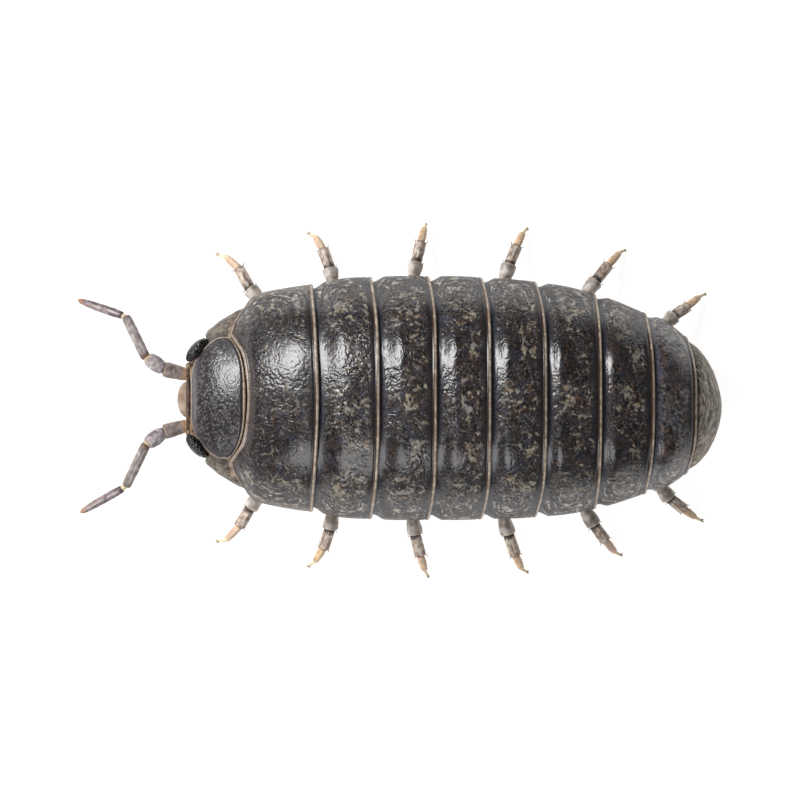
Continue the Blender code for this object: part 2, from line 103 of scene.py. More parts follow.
def step(x, a, b):
    t = np.clip((np.asarray(x, float) - a) / (b - a), 0.0, 1.0)
    return t * t * (3 - 2 * t)


def bell(x, mid, width):
    return np.exp(-((x - mid) / width) ** 2)


def spine(px):
    return SPINE_OFFSET + SWAY * np.clip((np.asarray(px, float) - SWAY_START) / 270.0, 0, None) ** SWAY_POWER


def place(px, side, z):
    px, side, z = np.broadcast_arrays(np.asarray(px, float), np.asarray(side, float),
                                      np.asarray(z, float))
    return np.stack([(px - PLAN_CENTRE[0]) * UNIT,
                     (PLAN_CENTRE[1] - spine(px)) * UNIT + side * UNIT, z], -1)


def plan(px, py, z):
    return np.array([(px - PLAN_CENTRE[0]) * UNIT, (PLAN_CENTRE[1] - py) * UNIT, z])


def arch(angle):
    power = 2.0 / ARCH_POWER
    s = np.sign(np.sin(angle)) * np.abs(np.sin(angle)) ** power
    c = np.clip(np.cos(angle), 0, None) ** power
    return s, c


# ------------------------------------------------------------------ noise
_rng = np.random.default_rng(20)
_perm = np.concatenate([_rng.permutation(256)] * 2)
_grad = _rng.normal(size=(256, 3))
_grad /= np.linalg.norm(_grad, axis=1)[:, None]
_spot = _rng.random((256, 3))


def noise(p, seed=0):
    """Gradient noise, about -0.8 to 0.8, for points (..., 3)."""
    p = np.asarray(p, float)
    i = np.floor(p).astype(np.int64)
    f = p - i
    u = f * f * f * (f * (f * 6 - 15) + 10)
    i = i + seed * 17
    out = 0.0
    for dx in (0, 1):
        wx = u[..., 0] if dx else 1 - u[..., 0]
        hx = _perm[(i[..., 0] + dx) & 255]
        for dy in (0, 1):
            wy = u[..., 1] if dy else 1 - u[..., 1]
            hy = _perm[(hx + i[..., 1] + dy) & 255]
            for dz in (0, 1):
                wz = u[..., 2] if dz else 1 - u[..., 2]
                g = _grad[_perm[(hy + i[..., 2] + dz) & 255]]
                d = f - np.array([dx, dy, dz], float)
                out = out + wx * wy * wz * (g * d).sum(-1)
    return out * 1.5


def fbm(p, seed=0, octaves=3, gain=0.5):
    out, amp, total = 0.0, 1.0, 0.0
    for o in range(octaves):
        out = out + amp * noise(p * 2.03 ** o, seed + o * 3)
        total += amp
        amp *= gain
    return out / total


def cells(p, seed=0):
    """Distance to the nearest and second nearest scattered point, for points (..., 3)."""
    p = np.asarray(p, float)
    i = np.floor(p).astype(np.int64)
    f = p - i
    best = np.full(p.shape[:-1], 9.0)
    second = np.full(p.shape[:-1], 9.0)
    tone = np.zeros(p.shape[:-1])
    for dx in (-1, 0, 1):
        for dy in (-1, 0, 1):
            for dz in (-1, 0, 1):
                h = _perm[(_perm[(_perm[(i[..., 0] + dx + seed * 31) & 255] + i[..., 1] + dy) & 255]
                           + i[..., 2] + dz) & 255]
                q = _spot[h] + np.array([dx, dy, dz], float) - f
                d = np.sqrt((q * q).sum(-1))
                near = d < best
                second = np.where(near, best, np.minimum(second, d))
                tone = np.where(near, h / 255.0, tone)
                best = np.where(near, d, best)
    return best, second, tone


# ---------------------------------------------------------------- colours
def tone(r, g, b):
    """Display colour 0-255 to linear."""
    c = np.array([r, g, b], float) / 255.0
    return np.where(c <= 0.04045, c / 12.92, ((c + 0.055) / 1.055) ** 2.4)


def blend(a, b, w):
    w = np.clip(w, 0, 1)[..., None]
    return a * (1 - w) + b * w


# ------------------------------------------------------------------ meshes
PIECES = {}


def build(name, verts, polys, colour=None, uv=None, gloss=None, smooth=True):
    """A mesh object from millimetre points, with its colour held per point."""
    verts = np.asarray(verts, float).reshape(-1, 3)
    polys = [np.asarray(p, np.int64) for p in polys if len(p)]
    a = verts
    volume = 0.0
    for p in polys:
        for k in range(1, p.shape[1] - 1):
            volume += np.einsum("ij,ij->i", a[p[:, 0]], np.cross(a[p[:, k]], a[p[:, k + 1]])).sum()
    if volume < 0:
        polys = [p[:, ::-1] for p in polys]
    corners = np.concatenate([p.ravel() for p in polys])
    totals = np.concatenate([np.full(len(p), p.shape[1]) for p in polys])
    starts = np.concatenate([[0], np.cumsum(totals)[:-1]])
    mesh = bpy.data.meshes.new(name)
    mesh.vertices.add(len(verts))
    mesh.vertices.foreach_set("co", (verts * 0.001).astype(np.float32).ravel())
    mesh.loops.add(len(corners))
    mesh.loops.foreach_set("vertex_index", corners.astype(np.int32))
    mesh.polygons.add(len(totals))
    mesh.polygons.foreach_set("loop_start", starts.astype(np.int32))
    mesh.update(calc_edges=True)
    mesh.validate()
    if smooth:
        mesh.polygons.foreach_set("use_smooth", np.ones(len(mesh.polygons), bool))
    if uv is not None:
        layer = mesh.uv_layers.new(name="OFBake")
        loops = np.zeros(len(mesh.loops), np.int32)
        mesh.loops.foreach_get("vertex_index", loops)
        layer.data.foreach_set("uv", np.asarray(uv, np.float32)[loops].ravel())
    if colour is not None:
        rgba = np.ones((len(verts), 4), np.float32)
        rgba[:, :3] = np.clip(np.asarray(colour).reshape(-1, 3), 0, 1)
        layer = mesh.attributes.new("tint", "FLOAT_COLOR", "POINT")
        layer.data.foreach_set("color", rgba.ravel())
    if gloss is not None:
        layer = mesh.attributes.new("gloss", "FLOAT", "POINT")
        layer.data.foreach_set("value", np.asarray(gloss, np.float32).ravel())
    obj = bpy.data.objects.new(name, mesh)
    bpy.context.scene.collection.objects.link(obj)
    PIECES[name] = obj
    return obj


def grid_faces(rows, cols, base=0, wrap=False):
    r, c = np.meshgrid(np.arange(rows - 1), np.arange(cols if wrap else cols - 1), indexing="ij")
    a = base + r * cols + c
    b = base + r * cols + (c + 1) % cols
    return np.stack([a, b, b + cols, a + cols], -1).reshape(-1, 4)


def zip_strip(a, b):
    """Triangles between two lines of point numbers that start and end together."""
    ta, tb = np.linspace(0, 1, len(a)), np.linspace(0, 1, len(b))
    i = j = 0
    out = []
    while i < len(a) - 1 or j < len(b) - 1:
        if j == len(b) - 1 or (i < len(a) - 1 and ta[i + 1] <= tb[j + 1]):
            out.append((a[i], a[i + 1], b[j]))
            i += 1
        else:
            out.append((a[i], b[j + 1], b[j]))
            j += 1
    return out


def normals_of(p):
    """Unit normals of a grid of points, facing up or outwards."""
    du = np.gradient(p, axis=0)
    dv = np.gradient(p, axis=1)
    n = np.cross(du, dv)
    n /= np.maximum(np.linalg.norm(n, axis=-1, keepdims=True), 1e-12)
    return n


def pillow(outer, inner):
    """Closed body from a fine outer grid and a coarse inner grid, joined all round."""
    ro, co = outer.shape[:2]
    ri, ci = inner.shape[:2]
    base = ro * co
    verts = np.concatenate([outer.reshape(-1, 3), inner.reshape(-1, 3)])
    quads = [grid_faces(ro, co), grid_faces(ri, ci, base)[:, ::-1]]

    def o(r, c):
        return r * co + c

    def i(r, c):
        return base + r * ci + c
    tris = []
    tris += zip_strip([o(0, c) for c in range(co - 1, -1, -1)], [i(0, c) for c in range(ci - 1, -1, -1)])
    tris += zip_strip([o(ro - 1, c) for c in range(co)], [i(ri - 1, c) for c in range(ci)])
    tris += zip_strip([o(r, 0) for r in range(ro)], [i(r, 0) for r in range(ri)])
    tris += zip_strip([o(r, co - 1) for r in range(ro - 1, -1, -1)],
                      [i(r, ci - 1) for r in range(ri - 1, -1, -1)])
    return verts, [quads[0], quads[1], np.array(tris)]


def pillow_uv(ro, co, ri, ci, rows=None):
    """Grid map: the outer face above, the inner face in a strip below."""
    u = np.linspace(0.01, 0.99, co)
    v = np.linspace(0.13, 0.99, ro) if rows is None else 0.13 + 0.86 * rows
    a = np.stack(np.meshgrid(u, v, indexing="xy"), -1).reshape(-1, 2)
    u = np.linspace(0.01, 0.99, ci)
    v = np.linspace(0.10, 0.01, ri)
    b = np.stack(np.meshgrid(u, v, indexing="xy"), -1).reshape(-1, 2)
    return np.concatenate([a, b])


# ------------------------------------------------------- plate surfaces
RIM_SHADOW_INK = tone(40, 36, 38)
SLATE = tone(74, 69, 71)
BLUE = tone(66, 70, 82)
BAND = tone(48, 41, 40)
ASH = tone(128, 120, 113)
PALE = tone(196, 184, 160)
SAND = tone(150, 138, 112)
RUST = tone(122, 82, 50)
CREAM = tone(196, 176, 150)
BROWN = tone(88, 58, 40)


def rear_line(k, s):
    return PLATE_REAR[k] - REAR_BOW[k] * np.abs(s) ** BOW_POWER[k]


def skin_detail(k, px, arc, reach, S, dF, dR, length, base):
    """Height in mm and colour of a back plate's outer face, from its own plan."""
    P = np.stack([px, arc, np.full_like(px, 37.0 * k)], -1)      # units on the unrolled plate
    side = np.abs(arc) / reach                                   # 0 mid back, 1 skirt
    lateral = step(side, 0.60, 0.92)
    warp = noise(P / 14.0, 5) * 5.0
    front_strip = 1 - step(dF + warp * 0.35, 3.2, 7.5)
    rear_band = 1 - step(dR + warp * 0.45, 6.5, 12.5)
    if k == 0:
        front_strip = front_strip * 0.3
    middle = (1 - front_strip) * (1 - rear_band)
    # two low swellings beside the midline, each with hand-drawn rings round it
    cx = 43.0 if k == 0 else 15.0
    rings = np.zeros_like(px)
    swell = np.zeros_like(px)
    near = np.zeros_like(px)
    for hand in (1.0, -1.0):
        cy = (42.0 if k == 0 else 48.0) if hand > 0 else (-56.0 if k == 0 else -61.0)
        cy *= 1.0 if k < 5 else 1.0 - 0.07 * (k - 4)
        ex = (dF - cx) / (1.15 if k == 0 else 0.74)
        ey = (arc - cy) / (1.25 if k == 0 else 1.12)
        rho = np.sqrt(ex**2 + ey**2) + noise(P / 7.5, 11) * 4.0 + noise(P / 2.8, 12) * 1.6
        for radius, w, a in ((3.6, 0.60, 0.5), (8.2, 0.62, 1.0), (12.4, 0.60, 0.8), (17.0, 0.62, 0.6), (22.0, 0.65, 0.5)):
            keep = step(noise(P / 6.0, 13 + int(radius)), -0.22, 0.05)
            rings += a * bell(rho, radius, w) * keep
        gx = (dF - (cx + (12.0, 11.0, 11.0, 8.0, 7.0, 5.0, 4.0, 4.0)[k])) / (15.0 if k == 0 else 13.0)
        gy = (arc - cy) / (23.0 if k == 0 else 19.0)
        swell += np.exp(-(gx**2 + gy**2) / 1.6)
        near += 1 - step(rho, 14.0, 23.0)
    near = np.clip(near, 0, 1)
    # distance in from the plate's outline, for the folds that follow it at the flanks
    plan_in = half_width_at(px) * (1 - np.abs(S))
    edge_side = reach - np.abs(arc)
    a = plan_in + 0.22 * edge_side
    b, c = np.maximum(dF, 0) * 0.9 + 3.0, np.maximum(dR, 0) * 1.0 + 1.0
    e = -7.0 * np.log(np.exp(-a / 7.0) + np.exp(-b / 7.0) + np.exp(-c / 7.0))
    L = np.stack([e / 2.5, (px + arc * 0.3) / 7.5, P[..., 2]], -1)
    folds = noise(L + 0.9 * np.stack([noise(P / 7.0, 28), noise(P / 7.0, 29), np.zeros_like(px)], -1), 30)
    folds2 = noise(L * np.array([1.9, 2.1, 1.0]) + 9.3, 31)
    steep = 0.35 + 0.65 * step(plan_in, 1.5, 7.0)
    flanks = step(side, 0.50 - 0.03 * max(k - 3, 0), 0.80 - 0.03 * max(k - 3, 0)) * (0.25 + 0.75 * step(e, 1.0, 4.0))
    patchy = step(noise(P / 8.0, 37) + 0.4 * noise(P / 3.5, 38), -0.30, 0.25)
    arcs = step(folds + 0.55 * folds2 + 0.40 * noise(P / 2.2, 32), 0.05, 0.48) * flanks * (0.25 + 0.75 * patchy)
    fold_shade = bell(folds + 0.3 * folds2, -0.08, 0.12) * flanks
    # creases: nets of short grooves at two sizes
    tug = np.stack([noise(P / 6.0, 21), noise(P / 6.0, 22), np.zeros_like(px)], -1)
    Q = np.stack([px / 6.4, arc / 5.6, P[..., 2] + 3.0], -1) + 0.45 * tug
    n1 = noise(Q, 23)
    n2 = noise(Q * 2.05 + 7.7, 24)
    n3 = noise(Q * 3.4 + 2.2, 20)
    crease = bell(n1, 0.0, 0.075)
    crinkle = bell(n2, 0.0, 0.10)
    lumps = noise(Q * 1.05 + 3.3, 25)
    d1, _, cell_tone = cells(P / 3.3 + 0.3 * tug, 2)
    granule = np.clip(1 - (d1 / 0.60) ** 2, 0, 1)
    fine = noise(P / 1.9, 26) * 0.6 + noise(P / 1.1, 27) * 0.4
    calm = (1 - 0.93 * near) * (1 - 0.75 * lateral) * (0.6 if k == 0 else 0.85)
    rugged = middle * (0.6 + 0.4 * step(noise(P / 15.0, 33), -0.3, 0.3))
    h = np.zeros_like(px)
    h -= 0.0075 * np.clip(rings, 0, 1) * (0.3 + 0.7 * middle)
    h -= (0.013 * crease + 0.006 * crinkle) * rugged * calm
    h += (0.006 if k == 0 else 0.010) * lumps * rugged * (1 - 0.5 * lateral) * (1 - 0.8 * near)
    zone = bell(np.abs(arc), 24, 13) + 0.35
    scratch = noise(np.stack([px / 9.0, arc / 2.3, P[..., 2]], -1) + 0.5 * tug, 35)
    scratch = bell(scratch, 0.0, 0.09) * zone * rugged * (1 - 0.8 * lateral) * (1 - 0.8 * near)
    h -= 0.010 * scratch
    h += 0.006 * granule * (0.4 + 0.6 * cell_tone) * rugged * calm
    h += 0.0022 * fine * (0.25 + 0.75 * middle)
    h += np.clip(swell, 0, 1) * (0.035, 0.008, 0.060, 0.060, 0.070, 0.095, 0.095, 0.080)[k]
    h += (0.012 * folds + 0.007 * folds2 + 0.004 * noise(P / 2.0, 36)) * flanks * (0.35 + 0.65 * middle) * step(edge_side, 1.0, 5.0)
    h += 0.004 * noise(np.stack([px / 2.4, arc / 12.0, P[..., 2]], -1), 34) * (1 - middle)
    # margin: a flat pale rim with a groove before it
    h -= 0.016 * bell(dR, 4.7, 0.8)
    h += 0.005 * (1 - step(dR, 3.0, 4.0))
    h -= 0.014 * bell(edge_side, 3.4, 0.8) * step(dF, -1, 2)
    if k == 0:
        h += 0.020 * bell(dF, 1.9, 1.3)
        h -= 0.020 * bell(dF, 4.3, 0.9)
    # ---- colour
    grain = noise(P / 1.35, 40)
    grain2 = noise(P / 2.5, 39)
    soft = noise(P / 10.0, 41)
    col = blend(tone(13, 11, 13), tone(54, 49, 51), 0.42 + 0.60 * soft + 0.60 * grain2)
    col = blend(col, tone(50, 53, 70), 0.45 * step(noise(P / 11.0, 42) + 0.4 * grain2, 0.05, 0.5))
    col = blend(col, tone(50, 36, 30), 0.6 * step(noise(P / 9.0, 43) + 0.4 * grain2, 0.05, 0.5))
    flank = tone(72, 66, 63)
    col = blend(col, flank, (0.66 + 0.6 * soft) * lateral * (0.60 + 0.4 * step(side, 0.75, 1.0)))
    col = blend(col, tone(72, 73, 86), 0.68 * front_strip * (1 - 0.6 * lateral) * (0.7 + 0.6 * grain2))
    col = blend(col, tone(34, 30, 32), 0.65 * rear_band * (1 - 0.5 * lateral))
    # painted highlight: raised granule tops lightened, standing in for glints off the granules
    col = blend(col, tone(104, 98, 97), 0.60 * granule * cell_tone * rugged * calm)
    # painted shade: crease and crinkle grooves darkened
    col = blend(col, col * 0.40, 0.85 * np.clip((crease + 0.6 * crinkle) * rugged * calm, 0, 1))
    # painted shade: ring grooves round the swellings darkened
    col = blend(col, col * 0.40, 0.80 * np.clip(rings * middle, 0, 1))
    # painted highlight: raised lumps lightened
    col = blend(col, col * 1.6 + 0.01, 0.45 * np.clip(lumps * 1.8, 0, 1) * rugged)
    # painted glints: small pale flecks standing in for sparkle off the fine relief
    col = blend(col, tone(156, 150, 144), 0.60 * step(grain + 0.6 * n3, 0.40, 0.72) * rugged * (1 - 0.5 * lateral) * (1 - 0.7 * near))
    col = blend(col, tone(214, 205, 193), 0.92 * arcs * (0.45 + 0.55 * middle) * (0.75 + 0.5 * grain2))
    # painted shade: dark lines along the dips of the flank folds
    col = blend(col, col * 0.40, 0.80 * fold_shade * (0.4 + 0.6 * middle))
    if k == 0:
        col = blend(col, tone(132, 122, 112), 0.45 * (1 - step(plan_in + 1.5 * soft, 3.0, 7.0)) * step(px, 244, 256))
    # mottles
    a_arc = np.abs(arc)
    if k == 0:
        where = 0.40 * bell(a_arc, 0, 24) + 0.25 * bell(a_arc, 55, 18) + 0.55 * bell(a_arc, 95, 24) + 0.14
    else:
        where = 0.62 * bell(a_arc, 0, 22) + 0.32 * bell(a_arc, 45, 20) + 0.66 * bell(a_arc, 96, 30) + 0.20
        where = where * (1 - 0.6 * near) + 0.35 * bell(np.hypot(dF - length + 17, a_arc - 50), 0, 13)
    where *= step(dF, 7, 17) * step(dR, 5, 12)
    clump = noise(P / 14.0, 50) + 0.6 * noise(P / 7.5, 51)
    dots = 0.85 * noise(np.stack([px / 5.0, arc / 4.6, P[..., 2]], -1) + 0.5 * tug, 52) + 0.42 * grain2 + 0.30 * grain
    spots = step(dots + 0.62 * clump + 0.80 * (where - 0.70), 0.14, 0.60)
    pale = blend(tone(104, 95, 80), tone(178, 169, 150), 0.5 + 1.1 * noise(P / 3.0, 53))
    pale = blend(pale, tone(148, 144, 142), 0.7 * step(noise(P / 13.0, 57), -0.1, 0.3))
    pale = blend(pale, tone(126, 104, 76), 0.5 * step(noise(P / 8.0, 58), 0.1, 0.4))
    col = blend(col, pale, 0.80 * spots * np.clip(where * 1.5, 0, 1))
    flecks = step(noise(P / 3.2, 54) + 0.4 * noise(P / 10.0, 55), 0.34, 0.62) * middle
    col = blend(col, blend(tone(116, 90, 62), tone(90, 64, 48), 0.5 + noise(P / 7.0, 56)), 0.42 * flecks)
    if k == 7:
        col = blend(col, np.minimum(col * 2.4 + 0.004, np.maximum(col, 0.20)), 0.9)
    # margins and rims
    wob = 0.30 * noise(P / 3.0, 60)
    along = noise(np.stack([px / 40.0, arc / 7.0, P[..., 2]], -1), 61)
    rim = blend(tone(195, 178, 156), tone(148, 133, 116), 0.5 + 1.2 * along + 0.6 * grain2)
    rim = blend(rim, tone(136, 106, 78), 0.6 * step(noise(P / 9.0, 62), 0.05, 0.4))
    rim = blend(rim, rim * 1.30, step(side, 0.12, 0.35))
    rim = blend(rim, tone(120, 114, 110), 0.6 * (1 - step(dR, 0.7, 1.6)))
    rim = blend(rim, tone(176, 163, 150), 0.6 * lateral)
    m = 1 - step(dR + wob, 2.1, 2.9)
    col = blend(col, tone(60, 40, 30), 0.85 * bell(dR + wob, 3.5, 0.9) * (1 - 0.4 * lateral))
    col = blend(col, rim, m)
    if k == 0:
        front_rim = blend(tone(168, 152, 138), tone(132, 116, 104), 0.5 + 1.0 * along + 0.5 * grain2)
        col = blend(col, tone(66, 48, 38), 0.8 * bell(dF, 4.4, 0.8))
        col = blend(col, front_rim, 1 - step(dF + wob, 3.0, 3.9))
        col = blend(col, tone(92, 84, 82), 0.5 * bell(dF, 7.5, 2.0))
        col = blend(col, tone(60, 42, 32), 0.9 * (1 - step(dF, 0.3, 0.9)))
    skirt = 1 - step(edge_side + wob, 1.6, 2.8)
    col = blend(col, tone(176, 164, 150), 0.75 * skirt)
    col = blend(col, tone(80, 60, 48), 0.35 * bell(edge_side, 3.6, 0.9))
    # painted shadow: dark line just behind the previous plate's rim, where that edge shades this plate
    if k > 0:
        col = blend(col, tone(16, 13, 13), 1 - step(dF, 0.5, 1.5))
    gloss = 0.25 + 0.03 * fine + 0.40 * step(side, 0.56, 0.86) + 0.12 * m + 0.04 * grain2 - 0.03 * near
    return h, col, gloss


def roll(d, r):
    """Drop of a rounded edge of radius r at distance d from the edge."""
    t = np.clip(d / r, 0, 1)
    return r * (1 - np.sqrt(np.clip(1 - (1 - t) ** 2, 0, 1)))


def make_plate(k):
    cols = int(480 * COARSE) // 2 * 2
    edge = np.array([0.0, 0.0012, 0.003, 0.0055, 0.009])
    v = np.concatenate([edge, np.linspace(0.0125, 0.9875, cols), 1 - edge[::-1]])
    angle = (v - 0.5) * math.pi
    S, C = arch(angle)
    rear = rear_line(k, S)
    if k == 0:
        front = collar_line_at(np.abs(S))
        ahead = front
        lead = 0.0
    else:
        ahead = rear_line(k - 1, S)
        front = ahead - TUCK + 1.5
        lead = TUCK - 1.5
    length = float(np.median(rear - ahead))
    total = length + lead
    n = int(112 * COARSE)
    tip = np.array([3.2, 2.4, 1.7, 1.1, 0.65, 0.3, 0.1, 0.0]) / total
    if k == 0:
        lip_front = np.array([0.0, 0.15, 0.5, 1.0, 1.6, 2.3]) / total
        p = np.concatenate([lip_front, np.linspace(3.0 / total, 1 - 4.0 / total, n), 1 - tip])
    else:
        f0 = lead / total
        p = np.concatenate([np.linspace(0, f0, 5)[:-1], np.linspace(f0, 1 - 4.0 / total, n), 1 - tip])
    px = front + (rear - front) * p[:, None]
    S2, C2 = np.broadcast_to(S, px.shape), np.broadcast_to(C, px.shape)
    dR = (rear - px)
    dF = (px - ahead)
    if k == 0:
        inset = np.zeros_like(px)
    else:
        base_in = LIP * LIP_SCALE[k - 1] + GAP
        inset = base_in * (1 - step(dF, 1.0, 13.0 + (RISE[k] - 13.0) * C2)) - 0.012 * bell(dF / length, 0.55, 0.3)
    skirt = (SKIRT_Z + (0.10 if k == 0 else 0.12) * (1 - step(dF, -2, 11))
             + 0.06 * (1 - step(dR, 0, 6)) - 0.015 * bell(dR / length, 0.4, 0.2))

    def surface(extra):
        half = half_width_at(px) - (inset + extra) / UNIT
        crown = crown_at(px) - inset - extra
        return place(px, half * S2, skirt + (crown - skirt) * C2)
    base = surface(0.0)
    seg = np.linalg.norm(np.diff(base, axis=1), axis=2)
    along = np.concatenate([np.zeros((len(p), 1)), np.cumsum(seg, axis=1)], 1) / UNIT
    middle = along[:, cols // 2 + 5:cols // 2 + 6]
    arc = along - middle
    reach = np.where(arc < 0, middle, along[:, -1:] - middle)
    h, col, gloss = skin_detail(k, px, arc, reach, S2, dF, dR, length, base)
    lip = LIP * LIP_SCALE[k]
    h -= roll(dR * UNIT, lip * 0.5)
    h -= roll((reach - np.abs(arc)) * UNIT, 0.07)
    if k == 0:
        h -= roll(dF * UNIT, 0.08)
    n_ = normals_of(base)
    if n_[len(p) // 2, cols // 2, 2] < 0:
        n_ = -n_
    outer = base + n_ * h[..., None]
    # inner face
    vi = np.linspace(0.012, 0.988, 64)
    Si, Ci = arch((vi - 0.5) * math.pi)
    rear_i = rear_line(k, Si)
    if k == 0:
        ahead_i = collar_line_at(np.abs(Si))
        rows = [ahead_i + 1.6, ahead_i + 6, ahead_i + 14, rear_i - 26, rear_i - 20, rear_i - 14, rear_i - 7,
                rear_i - 1.4]
        ins = [0, 0, 0, 0, 0, 0, 0, 0]
    else:
        ahead_i = rear_line(k - 1, Si)
        rows = [ahead_i - lead + 1.0, ahead_i - 4, ahead_i + 3, ahead_i + RISE[k], rear_i - 20, rear_i - 14,
                rear_i - 7, rear_i - 1.4]
        ins = [base_in, base_in, base_in, 0, 0, 0, 0, 0]
    inner = []
    for pxi, b in zip(rows, ins):
        dRi, dFi = rear_i - pxi, pxi - ahead_i
        thick = lip + (0.34 - lip) * step(dRi, 13, 21)
        if k == 0:
            thick = thick * (0.5 + 0.5 * step(dFi, 1, 10))
        else:
            thick = thick * (0.6 + 0.4 * step(dFi, -8, 6))
        thick = np.minimum(thick, 0.13 + 0.25 * (1 - np.abs(Si) ** 6))
        half = half_width_at(pxi) - (b + thick) / UNIT
        crown = crown_at(pxi) - b - thick
        sk = SKIRT_Z + (0.10 if k == 0 else 0.12) * (1 - step(dFi, -2, 11)) + 0.06 * (1 - step(dRi, 0, 6))
        inner.append(place(pxi, half * Si, sk + (crown - sk) * Ci))
    inner = np.array(inner)
    verts, polys = pillow(outer, inner)
    inner_col = np.broadcast_to(tone(150, 136, 118), (inner.shape[0] * inner.shape[1], 3))
    colour = np.concatenate([col.reshape(-1, 3), inner_col])
    gl = np.concatenate([gloss.ravel(), np.full(len(inner_col), 0.5)])
    uv = pillow_uv(outer.shape[0], outer.shape[1], inner.shape[0], inner.shape[1])
    obj = build("shell_plate_%d" % (k + 1), verts, polys, colour, uv, gl)
    obj.data.materials.append(SHELL)
    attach(obj, "root")
    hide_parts("plate_%d" % (k + 1))
    return obj


# -------------------------------------------------------------- materials
def material(name, rough=0.35, specular=0.5, coat=0.0, coat_rough=0.2, grain=0.12, grain_size=0.03,
             bump=0.15, bump_size=0.02, sub=0.0, ior=1.5):
    """Principled surface: point colour with fine grain in colour, roughness and relief (mm sizes)."""
    m = bpy.data.materials.new(name)
    m.use_nodes = True
    t = m.node_tree
    t.nodes.clear()
    out = t.nodes.new("ShaderNodeOutputMaterial")
    sh = t.nodes.new("ShaderNodeBsdfPrincipled")
    t.links.new(sh.outputs[0], out.inputs[0])
    co = t.nodes.new("ShaderNodeTexCoord")
    attr = t.nodes.new("ShaderNodeAttribute")
    attr.attribute_name = "tint"
    nz = t.nodes.new("ShaderNodeTexNoise")
    nz.inputs["Scale"].default_value = 1000.0 / grain_size
    nz.inputs["Detail"].default_value = 3.0
    nz.inputs["Roughness"].default_value = 0.6
    t.links.new(co.outputs["Object"], nz.inputs["Vector"])
    rng = t.nodes.new("ShaderNodeMapRange")
    rng.inputs["From Min"].default_value = 0.25
    rng.inputs["From Max"].default_value = 0.75
    rng.inputs["To Min"].default_value = 1.0 - grain
    rng.inputs["To Max"].default_value = 1.0 + grain
    t.links.new(nz.outputs["Fac"], rng.inputs["Value"])
    mul = t.nodes.new("ShaderNodeVectorMath")
    mul.operation = "SCALE"
    t.links.new(attr.outputs["Color"], mul.inputs[0])
    t.links.new(rng.outputs["Result"], mul.inputs["Scale"])
    t.links.new(mul.outputs["Vector"], sh.inputs["Base Color"])
    gl = t.nodes.new("ShaderNodeAttribute")
    gl.attribute_name = "gloss"
    ro = t.nodes.new("ShaderNodeMath")
    ro.operation = "MULTIPLY_ADD"
    t.links.new(nz.outputs["Fac"], ro.inputs[0])
    ro.inputs[1].default_value = 0.12
    t.links.new(gl.outputs["Fac"], ro.inputs[2])
    off = t.nodes.new("ShaderNodeMath")
    off.operation = "ADD"
    off.use_clamp = True
    t.links.new(ro.outputs[0], off.inputs[0])
    off.inputs[1].default_value = rough - 0.36
    t.links.new(off.outputs[0], sh.inputs["Roughness"])
    bz = t.nodes.new("ShaderNodeTexNoise")
    bz.inputs["Scale"].default_value = 1000.0 / bump_size
    bz.inputs["Detail"].default_value = 2.0
    t.links.new(co.outputs["Object"], bz.inputs["Vector"])
    bp = t.nodes.new("ShaderNodeBump")
    bp.inputs["Strength"].default_value = bump
    bp.inputs["Distance"].default_value = bump_size * 0.0004
    t.links.new(bz.outputs["Fac"], bp.inputs["Height"])
    t.links.new(bp.outputs["Normal"], sh.inputs["Normal"])
    sh.inputs["Specular IOR Level"].default_value = specular
    sh.inputs["IOR"].default_value = ior
    sh.inputs["Coat Weight"].default_value = coat
    sh.inputs["Coat Roughness"].default_value = coat_rough
    if sub > 0:
        sh.inputs["Subsurface Weight"].default_value = sub
        sh.inputs["Subsurface Radius"].default_value = (1.0, 0.6, 0.4)
        sh.inputs["Subsurface Scale"].default_value = 0.0002
    return m


SHELL = material("back_shell", rough=0.31, specular=0.5, coat=0.16, coat_rough=0.16)
TAIL = material("tail_shell", rough=0.52, specular=0.45, coat=0.04, coat_rough=0.25)
HEAD = material("head_shell", rough=0.34, specular=0.5, coat=0.27, coat_rough=0.16)
EYE = material("eye_facets", rough=0.22, specular=0.5, coat=0.15, coat_rough=0.10, grain=0.2)
FACE = material("face_skin", rough=0.46, specular=0.4, coat=0.10, coat_rough=0.3, sub=0.06)
COLLAR = material("collar_skin", rough=0.44, specular=0.4, coat=0.10, coat_rough=0.3)
LIMB = material("limb_skin", rough=0.42, specular=0.45, coat=0.12, coat_rough=0.25, sub=0.08)
BRISTLE = material("bristle", rough=0.40, specular=0.4)
BELLY = material("belly_skin", rough=0.52, specular=0.35, sub=0.08)
GILL = material("gill_skin", rough=0.42, specular=0.45, coat=0.1, sub=0.10)

for k in range(8):
    make_plate(k)


